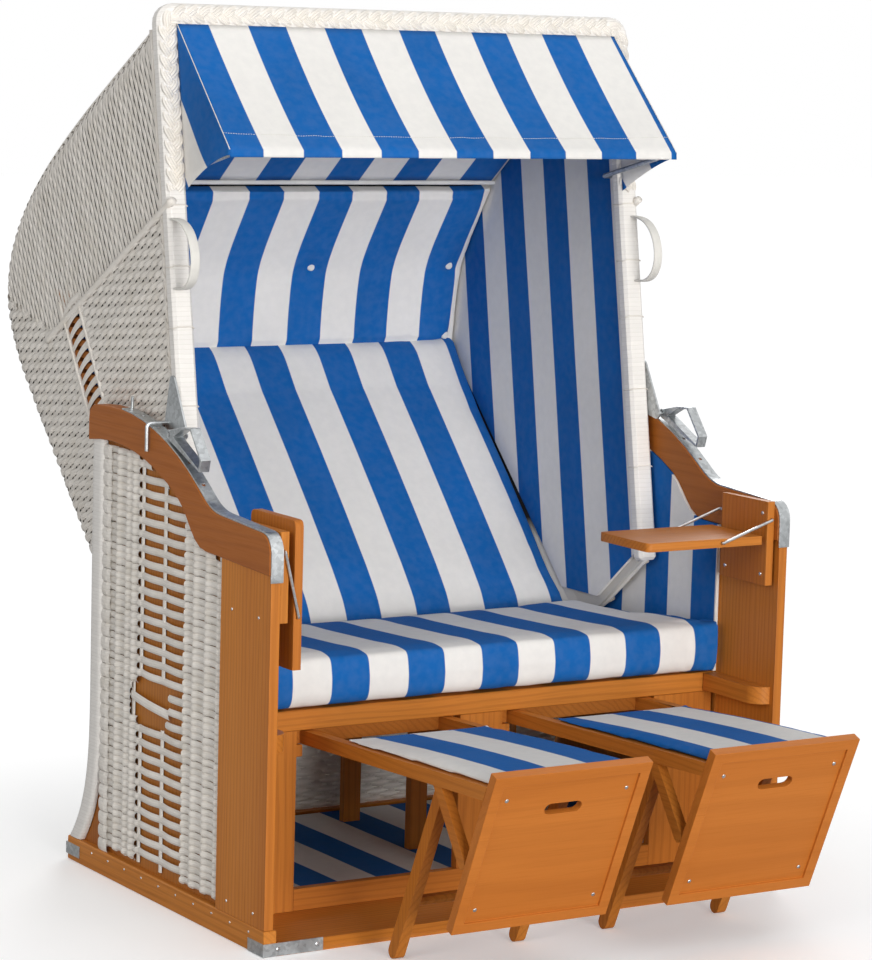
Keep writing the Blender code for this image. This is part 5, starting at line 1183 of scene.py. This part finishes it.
def build_roof_cloth():
    line = resampled(ROOF_LINE, 0.02)
    reach = np.linspace(0, 1, len(line))
    across = np.linspace(-ROOF_HALF, ROOF_HALF, 61)
    points = []
    for share, (d, z) in zip(reach, line):
        sag = 0.006 * math.sin(max(0.0, share - 0.35) / 0.65 * math.pi)
        for x in across:
            ripple = 0.0008 * math.sin(x * 29 + 2 * math.sin(x * 9) + share * 3)
            points.append((x, d - HALF_DEPTH - 0.6 * sag, z - 0.8 * sag + ripple))
    made = thin_sheet("roof_sheet", points, len(across), 0.0014, "roof")
    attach(made, "hood")


def build_floor_cloth():
    low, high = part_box("floor_board")
    xs, ys = np.linspace(low[0], high[0], 60), np.linspace(low[1], high[1], 40)
    points = [(x, y, high[2] + 0.0010 + 0.0004 * math.sin(x * 31 + y * 7) * math.sin(y * 23))
              for y in ys for x in xs]
    made = thin_sheet("floor_sheet", points, len(xs), 0.0010, "floor")
    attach(made, "base")


PADS = [
    stuffed("seat_cushion", "seat_pad", "seat", 0.009, 0.006, 0.009, "base", 0.8,
            limits_of("seat_cushion"), shape_seat),
    stuffed("back_cushion", "back_pad", "back", 0.009, 0.005, 0.008, "hood", 0.75,
            limits_of("back_cushion", up=BACK_UP), shape_back),
    stuffed("neck_cushion", "neck_pad", "neck", 0.006, 0.003, 0.006, "hood", 0.6,
            limits_of("neck_cushion", down=NECK_DOWN), shape_neck),
    stuffed("footrest_pad_left", "foot_pad_left", "pad_left", 0.005, 0.003, 0.004, "footrest_left", 0.7,
            limits_of("footrest_pad_left")),
    stuffed("footrest_pad_right", "foot_pad_right", "pad_right", 0.005, 0.003, 0.004, "footrest_right", 0.7,
            limits_of("footrest_pad_right")),
]
inflate(PADS)
lining("hood_lining", "hood_cloth", "hood", ("roof", "hood_side"), 0.04)
for side_name in ("left", "right"):
    lining("side_lining_" + side_name, "side_cloth_" + side_name, "base", ("base_side",), 0.03)
dress("floor_board", "ply", 0.0)
build_roof_cloth()
build_floor_cloth()


# Awning

CLOTH_TOP_Z = 1.733
BAR_D, BAR_Z, BAR_RADIUS = 0.340, 1.492, 0.005
CLOTH_HALF = 0.522
CLOTH_FLARE = 0.004
HEM, HEM_SHARE = 0.014, 0.06
STITCH_PLACE = 0.87
WING_DROP, WING_BEND = 0.078, 1.35
WING_BLUE = AWNING_CENTRE - AWNING_PERIOD * BLUE_SHARE / 2 + 0.001
CLOTH_THIN = 0.0014


def rim_front(z):
    return RIM_LOW[0] + (z - RIM_LOW[1]) * math.tan(RIM_LEAN)


TOP_D = rim_front(CLOTH_TOP_Z) - 0.0035
FRONT_D = BAR_D - BAR_RADIUS - 0.003


def awning_point(across, along):
    """across: -1 to 1 over the bar, further down the wings; along: 0 at the hood, 1 at the bar, more in the hem."""
    t = min(along, 1.0)
    share = max(-1.0, min(1.0, across))
    x = (CLOTH_HALF + CLOTH_FLARE * t) * share
    sag = 0.012 * 4 * t * (1 - t) * (1 - share ** 4)
    d = TOP_D + (FRONT_D - TOP_D) * t
    z = CLOTH_TOP_Z + (BAR_Z + BAR_RADIUS - CLOTH_TOP_Z) * t - sag
    ripple = 0.0016 * math.sin(share * 37 + 2 * math.sin(share * 11)) * t
    hem = max(0.0, along - 1.0) / HEM_SHARE * HEM
    d -= hem * 0.10 + 0.4 * ripple * (hem > 0)
    z += ripple * 0.5 * t * (1 - hem / HEM) - hem
    over = abs(across) - 1.0
    if over > 0:
        low_z = BAR_Z - BAR_RADIUS - WING_DROP * (1 - t) ** WING_BEND
        low_d = FRONT_D + (rim_front(low_z) - 0.0035 - FRONT_D) * (1 - t)
        bulge = math.sin(min(1.0, over) * math.pi) * math.sin(t * math.pi)
        fold = math.sin(over * 5.0) * (1 - t) * t
        x += math.copysign(0.004 * bulge - 0.012 * fold, across)
        d += (low_d - d) * over
        z += (low_z - z) * over
    return x, d - HALF_DEPTH, z


def build_awning():
    steps = [k / 24 for k in range(25)]
    hem_steps = [1 + HEM_SHARE * k / 3 for k in (1, 2, 3)]
    points, faces, uvs = [], [], []
    ahead = np.array((FRONT_D - TOP_D, BAR_Z - CLOTH_TOP_Z))
    ahead /= np.linalg.norm(ahead)
    bar = [-1 + k / 48 for k in range(97)]
    wing = [1 + k / 14 for k in range(15)]
    for spans, rows in ((bar, steps + hem_steps), ([-a for a in wing], steps), (wing, steps)):
        start = len(points)
        patch = [awning_point(a, t) for t in rows for a in spans]
        points += patch
        faces.append(grid_faces(len(rows), len(spans)) + start)
        for x, y, z in patch:
            off = abs((y + HALF_DEPTH - TOP_D) * ahead[1] - (z - CLOTH_TOP_Z) * ahead[0])
            uvs.append((x if spans is bar else WING_BLUE + off, z))
    cloth = mesh_object("awning_sheet", points, np.concatenate(faces), True, uvs)
    bm = bmesh.new()
    bm.from_mesh(cloth.data)
    bmesh.ops.remove_doubles(bm, verts=bm.verts, dist=1e-5)
    bmesh.ops.recalc_face_normals(bm, faces=bm.faces)
    bm.to_mesh(cloth.data)
    bm.free()
    area = math.fsum(face.area for face in cloth.data.polygons)
    thickened(cloth, CLOTH_THIN)
    give(cloth, "awning")
    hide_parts("awning_cloth")
    seams = Strands()
    for side in (-1, 1):
        lift = (side * 0.0004, -0.0004, 0.0006)
        seams.tube([np.array(awning_point(side * 0.999, t)) + lift for t in steps], 0.0010, 6)
    lift = (0.0, -0.0006, 0.0007)
    for k in range(190):
        a0, a1 = -1 + k / 95, -1 + (k + 0.6) / 95
        seams.tube([np.array(awning_point(a, STITCH_PLACE)) + lift for a in (a0, (a0 + a1) / 2, a1)], 0.0006, 4)
    stitches = mesh_object("awning_stitches", np.concatenate(seams.points), np.concatenate(seams.faces), True)
    give(stitches, "webbing")
    return cloth, stitches, area


AWNING_SHEET, AWNING_STITCHES, AWNING_AREA = build_awning()


# Webbing, buttons, screws, nails

def dome(builder, place, normal, radius, height, sides=12):
    """A low round head that stands on a surface."""
    normal = Vector(normal).normalized()
    side = normal.orthogonal().normalized()
    other = normal.cross(side)
    rings = []
    for share, rise in ((1.0, -0.3), (1.0, 0.35), (0.86, 0.75), (0.5, 0.97), (0.02, 1.0)):
        ring = [Vector(place) + (side * math.cos(t) + other * math.sin(t)) * radius * share
                + normal * height * rise for t in np.linspace(0, math.tau, sides, endpoint=False)]
        rings.append([p[:] for p in ring])
    builder.put(np.array(rings), True, np.arange(len(rings)))


def heads(name, body, look, slot_name, places):
    builder = Strands()
    for place, normal, radius, height in places:
        dome(builder, place, normal, radius, height)
    return builder.build(name, look, body, slot_name)


def ribbon(name, path, width_from, width_to, thick, look, body, slot_name):
    """A flat strap with rounded edges along a path in the side plane."""
    path = resampled(path, 0.005)
    ahead = np.gradient(path, axis=0)
    ahead /= np.linalg.norm(ahead, axis=1)[:, None]
    out = np.stack([-ahead[:, 1], ahead[:, 0]], 1)
    middle, half = (width_from + width_to) / 2, abs(width_to - width_from) / 2
    section = []
    for corner_x, corner_n, first in ((1, 1, 0), (-1, 1, 1), (-1, -1, 2), (1, -1, 3)):
        for t in (first, first + 0.5, first + 1):
            turn = t * math.pi / 2
            section.append((corner_x * (half - thick * 0.4) + thick * 0.4 * math.cos(turn),
                            corner_n * thick * 0.1 + thick * 0.4 * math.sin(turn)))
    rings = [[(middle + u, d + n * nd - HALF_DEPTH, z + n * nz) for u, n in section]
             for (d, z), (nd, nz) in zip(path, out)]
    builder = Strands()
    builder.put(np.array(rings), True, np.arange(len(rings)) * 0.005)
    return builder.build(name, look, body, slot_name)


LOOP_LOW_Z, LOOP_TOP_Z, LOOP_REACH = 1.216, 1.357, 0.085
for side_name, side in (("left", -1), ("right", 1)):
    middle = (LOOP_LOW_Z + LOOP_TOP_Z) / 2
    half = (LOOP_TOP_Z - LOOP_LOW_Z) / 2 - 0.003
    turn = np.linspace(-math.pi / 2, math.pi / 2, 24)
    arc = [(rim_front(middle + half * math.sin(t)) - 0.0006 - (LOOP_REACH - 0.005) * math.cos(t) ** 0.75,
            middle + half * math.sin(t)) for t in turn]
    outer = side * (RIM_X - 0.002)
    loop = ribbon("grab_strap_" + side_name, arc, outer, outer - side * 0.020, 0.0042,
                  "webbing", "hood", "white_cloth")
    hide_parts("grab_loop_" + side_name)

PANEL_TOP, PANEL_LOW = (-0.490, 0.425), (-0.355, 0.108)
PANEL_LEAN = math.atan2(PANEL_LOW[0] - PANEL_TOP[0], PANEL_TOP[1] - PANEL_LOW[1])
PANEL_OUT = (0.0, -math.cos(PANEL_LEAN), -math.sin(PANEL_LEAN))
for side_name, side in (("left", -1), ("right", 1)):
    screws = []
    for x in (0.110, 0.370):
        for share in (0.16, 0.86):
            d = PANEL_TOP[0] + (PANEL_LOW[0] - PANEL_TOP[0]) * share
            z = PANEL_TOP[1] + (PANEL_LOW[1] - PANEL_TOP[1]) * share
            place = np.array((side * x, d - HALF_DEPTH, z)) - np.array(PANEL_OUT) * 0.005
            screws.append((place, PANEL_OUT, 0.0042, 0.0015))
    heads("panel_screws_" + side_name, "footrest_" + side_name, "bright", "galvanised", screws)

nails = []
for side in (-1, 1):
    for d in np.arange(0.06, 0.80, 0.075):
        nails.append(((side * 0.6000, d - HALF_DEPTH, 0.036), (side, 0, 0), 0.0026, 0.0012))
    for d in (0.045, 0.150):
        for z in (0.075, 0.640):
            nails.append(((side * 0.6000, d - HALF_DEPTH, z), (side, 0, 0), 0.0030, 0.0012))
    for d, z in ((0.030, 0.655), (0.030, 0.780), (0.150, 0.655)):
        nails.append(((side * 0.5562, d - HALF_DEPTH, z), (-side, 0, 0), 0.0040, 0.0014))
    for x in (0.030, 0.115):
        nails.append(((side * (0.600 - x), -0.0023 - HALF_DEPTH, 0.0135), (0, -1, 0), 0.0045, 0.0012))
heads("base_nails", "base", "bright", "galvanised", nails)

neck_tree = tree_of(PADS[2]["obj"].data)
buttons = []
for x, z in BUTTONS:
    place = neck_tree.ray_cast(Vector((x, -2.0, z)), Vector((0.0, 1.0, 0.0)))[0]
    buttons.append((place, (0.0, -1.0, 0.14), 0.0095, 0.0040))
heads("neck_buttons", "hood", "piping", "white_cloth", buttons)


# Camera, light and floor

def build_camera():
    azimuth, elevation, roll = math.radians(-31.95), math.radians(7.53), math.radians(1.58)
    back = Vector((math.sin(azimuth) * math.cos(elevation), -math.cos(azimuth) * math.cos(elevation),
                   math.sin(elevation)))
    right = Vector((0.0, 0.0, 1.0)).cross(back).normalized()
    up = back.cross(right)
    turned_right = right * math.cos(roll) + up * math.sin(roll)
    turned_up = up * math.cos(roll) - right * math.sin(roll)
    data = bpy.data.cameras.new("photo_camera")
    data.lens = 124.95
    data.sensor_width = 36.0
    data.clip_end = 100.0
    camera = bpy.data.objects.new("photo_camera", data)
    matrix = Matrix((turned_right, turned_up, back)).transposed().to_4x4()
    matrix.translation = (-3.563, -5.6985, 1.717)
    camera.matrix_world = matrix
    bpy.context.scene.collection.objects.link(camera)
    bpy.context.scene.camera = camera


def build_world():
    world = bpy.data.worlds.new("studio")
    bpy.context.scene.world = world
    world.use_nodes = True
    tree = world.node_tree
    light = tree.nodes["Background"]
    light.inputs["Color"].default_value = (0.96, 0.98, 1.0, 1.0)
    light.inputs["Strength"].default_value = 0.39
    white = tree.nodes.new("ShaderNodeBackground")
    white.inputs["Color"].default_value = (1.0, 1.0, 1.0, 1.0)
    path = tree.nodes.new("ShaderNodeLightPath")
    seen = path.outputs["Is Camera Ray"]
    for kind in ("Is Transmission Ray", "Is Glossy Ray"):
        either = tree.nodes.new("ShaderNodeMath")
        either.operation = "MAXIMUM"
        tree.links.new(seen, either.inputs[0])
        tree.links.new(path.outputs[kind], either.inputs[1])
        seen = either.outputs[0]
    mix = tree.nodes.new("ShaderNodeMixShader")
    tree.links.new(seen, mix.inputs[0])
    tree.links.new(light.outputs[0], mix.inputs[1])
    tree.links.new(white.outputs[0], mix.inputs[2])
    tree.links.new(mix.outputs[0], tree.nodes["World Output"].inputs[0])


def lamp(name, place, target, size, power, colour=(1.0, 1.0, 1.0)):
    data = bpy.data.lights.new(name, "AREA")
    data.shape = "DISK"
    data.size = size
    data.energy = power
    data.color = colour
    made = bpy.data.objects.new(name, data)
    made.location = place
    made.rotation_euler = (Vector(target) - Vector(place)).to_track_quat("-Z", "Y").to_euler()
    bpy.context.scene.collection.objects.link(made)


def build_floor():
    corners = [(-30, -30, 0), (30, -30, 0), (30, 30, 0), (-30, 30, 0)]
    floor = mesh_object("studio_floor", corners, [(0, 1, 2, 3)], False)
    n = Nodes("pale_floor")
    path = n.add("ShaderNodeLightPath")
    reach = n.add("ShaderNodeVectorMath", operation="LENGTH")
    n.link(n.place, reach.inputs[0])
    seen = path.outputs["Is Camera Ray"]
    far = n.math("MULTIPLY", n.ramp(reach.outputs["Value"], 0.75, 1.5), seen)
    colour = n.mix(seen, (0.60, 0.60, 0.60, 1.0), (0.96, 0.96, 0.96, 1.0))
    n.finish(n.mix(far, colour, (0.0, 0.0, 0.0, 1.0)), 0.85, specular=0.1)
    n.shader.inputs["Emission Color"].default_value = (1.0, 1.0, 1.0, 1.0)
    lifted = n.math("MULTIPLY", n.ramp(reach.outputs["Value"], 0.75, 1.5, 0.24, 1.0), seen)
    n.link(lifted, n.shader.inputs["Emission Strength"])
    floor.data.materials.append(n.material)


build_camera()
build_world()
lamp("fill", (-1.5, -15.8, 1.2), (0.0, 0.0, 0.9), 8.0, 2450.0, (1.0, 0.990, 0.975))
lamp("key", (1.2, -5.0, 4.8), (0.0, 0.0, 0.8), 3.2, 25.0, (1.0, 0.985, 0.965))
lamp("side", (-5.2, -2.6, 2.8), (0.0, 0.1, 0.8), 2.6, 62.0, (1.0, 0.97, 0.94))
lamp("top", (0.2, -0.8, 5.6), (0.0, 0.2, 0.8), 3.0, 22.0)
lamp("back", (3.4, 4.2, 3.4), (0.0, 0.3, 0.8), 2.6, 100.0)
build_floor()

scene = bpy.context.scene
scene.view_settings.view_transform = "Standard"

for piece in (AWNING_SHEET, AWNING_STITCHES):
    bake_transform(piece)
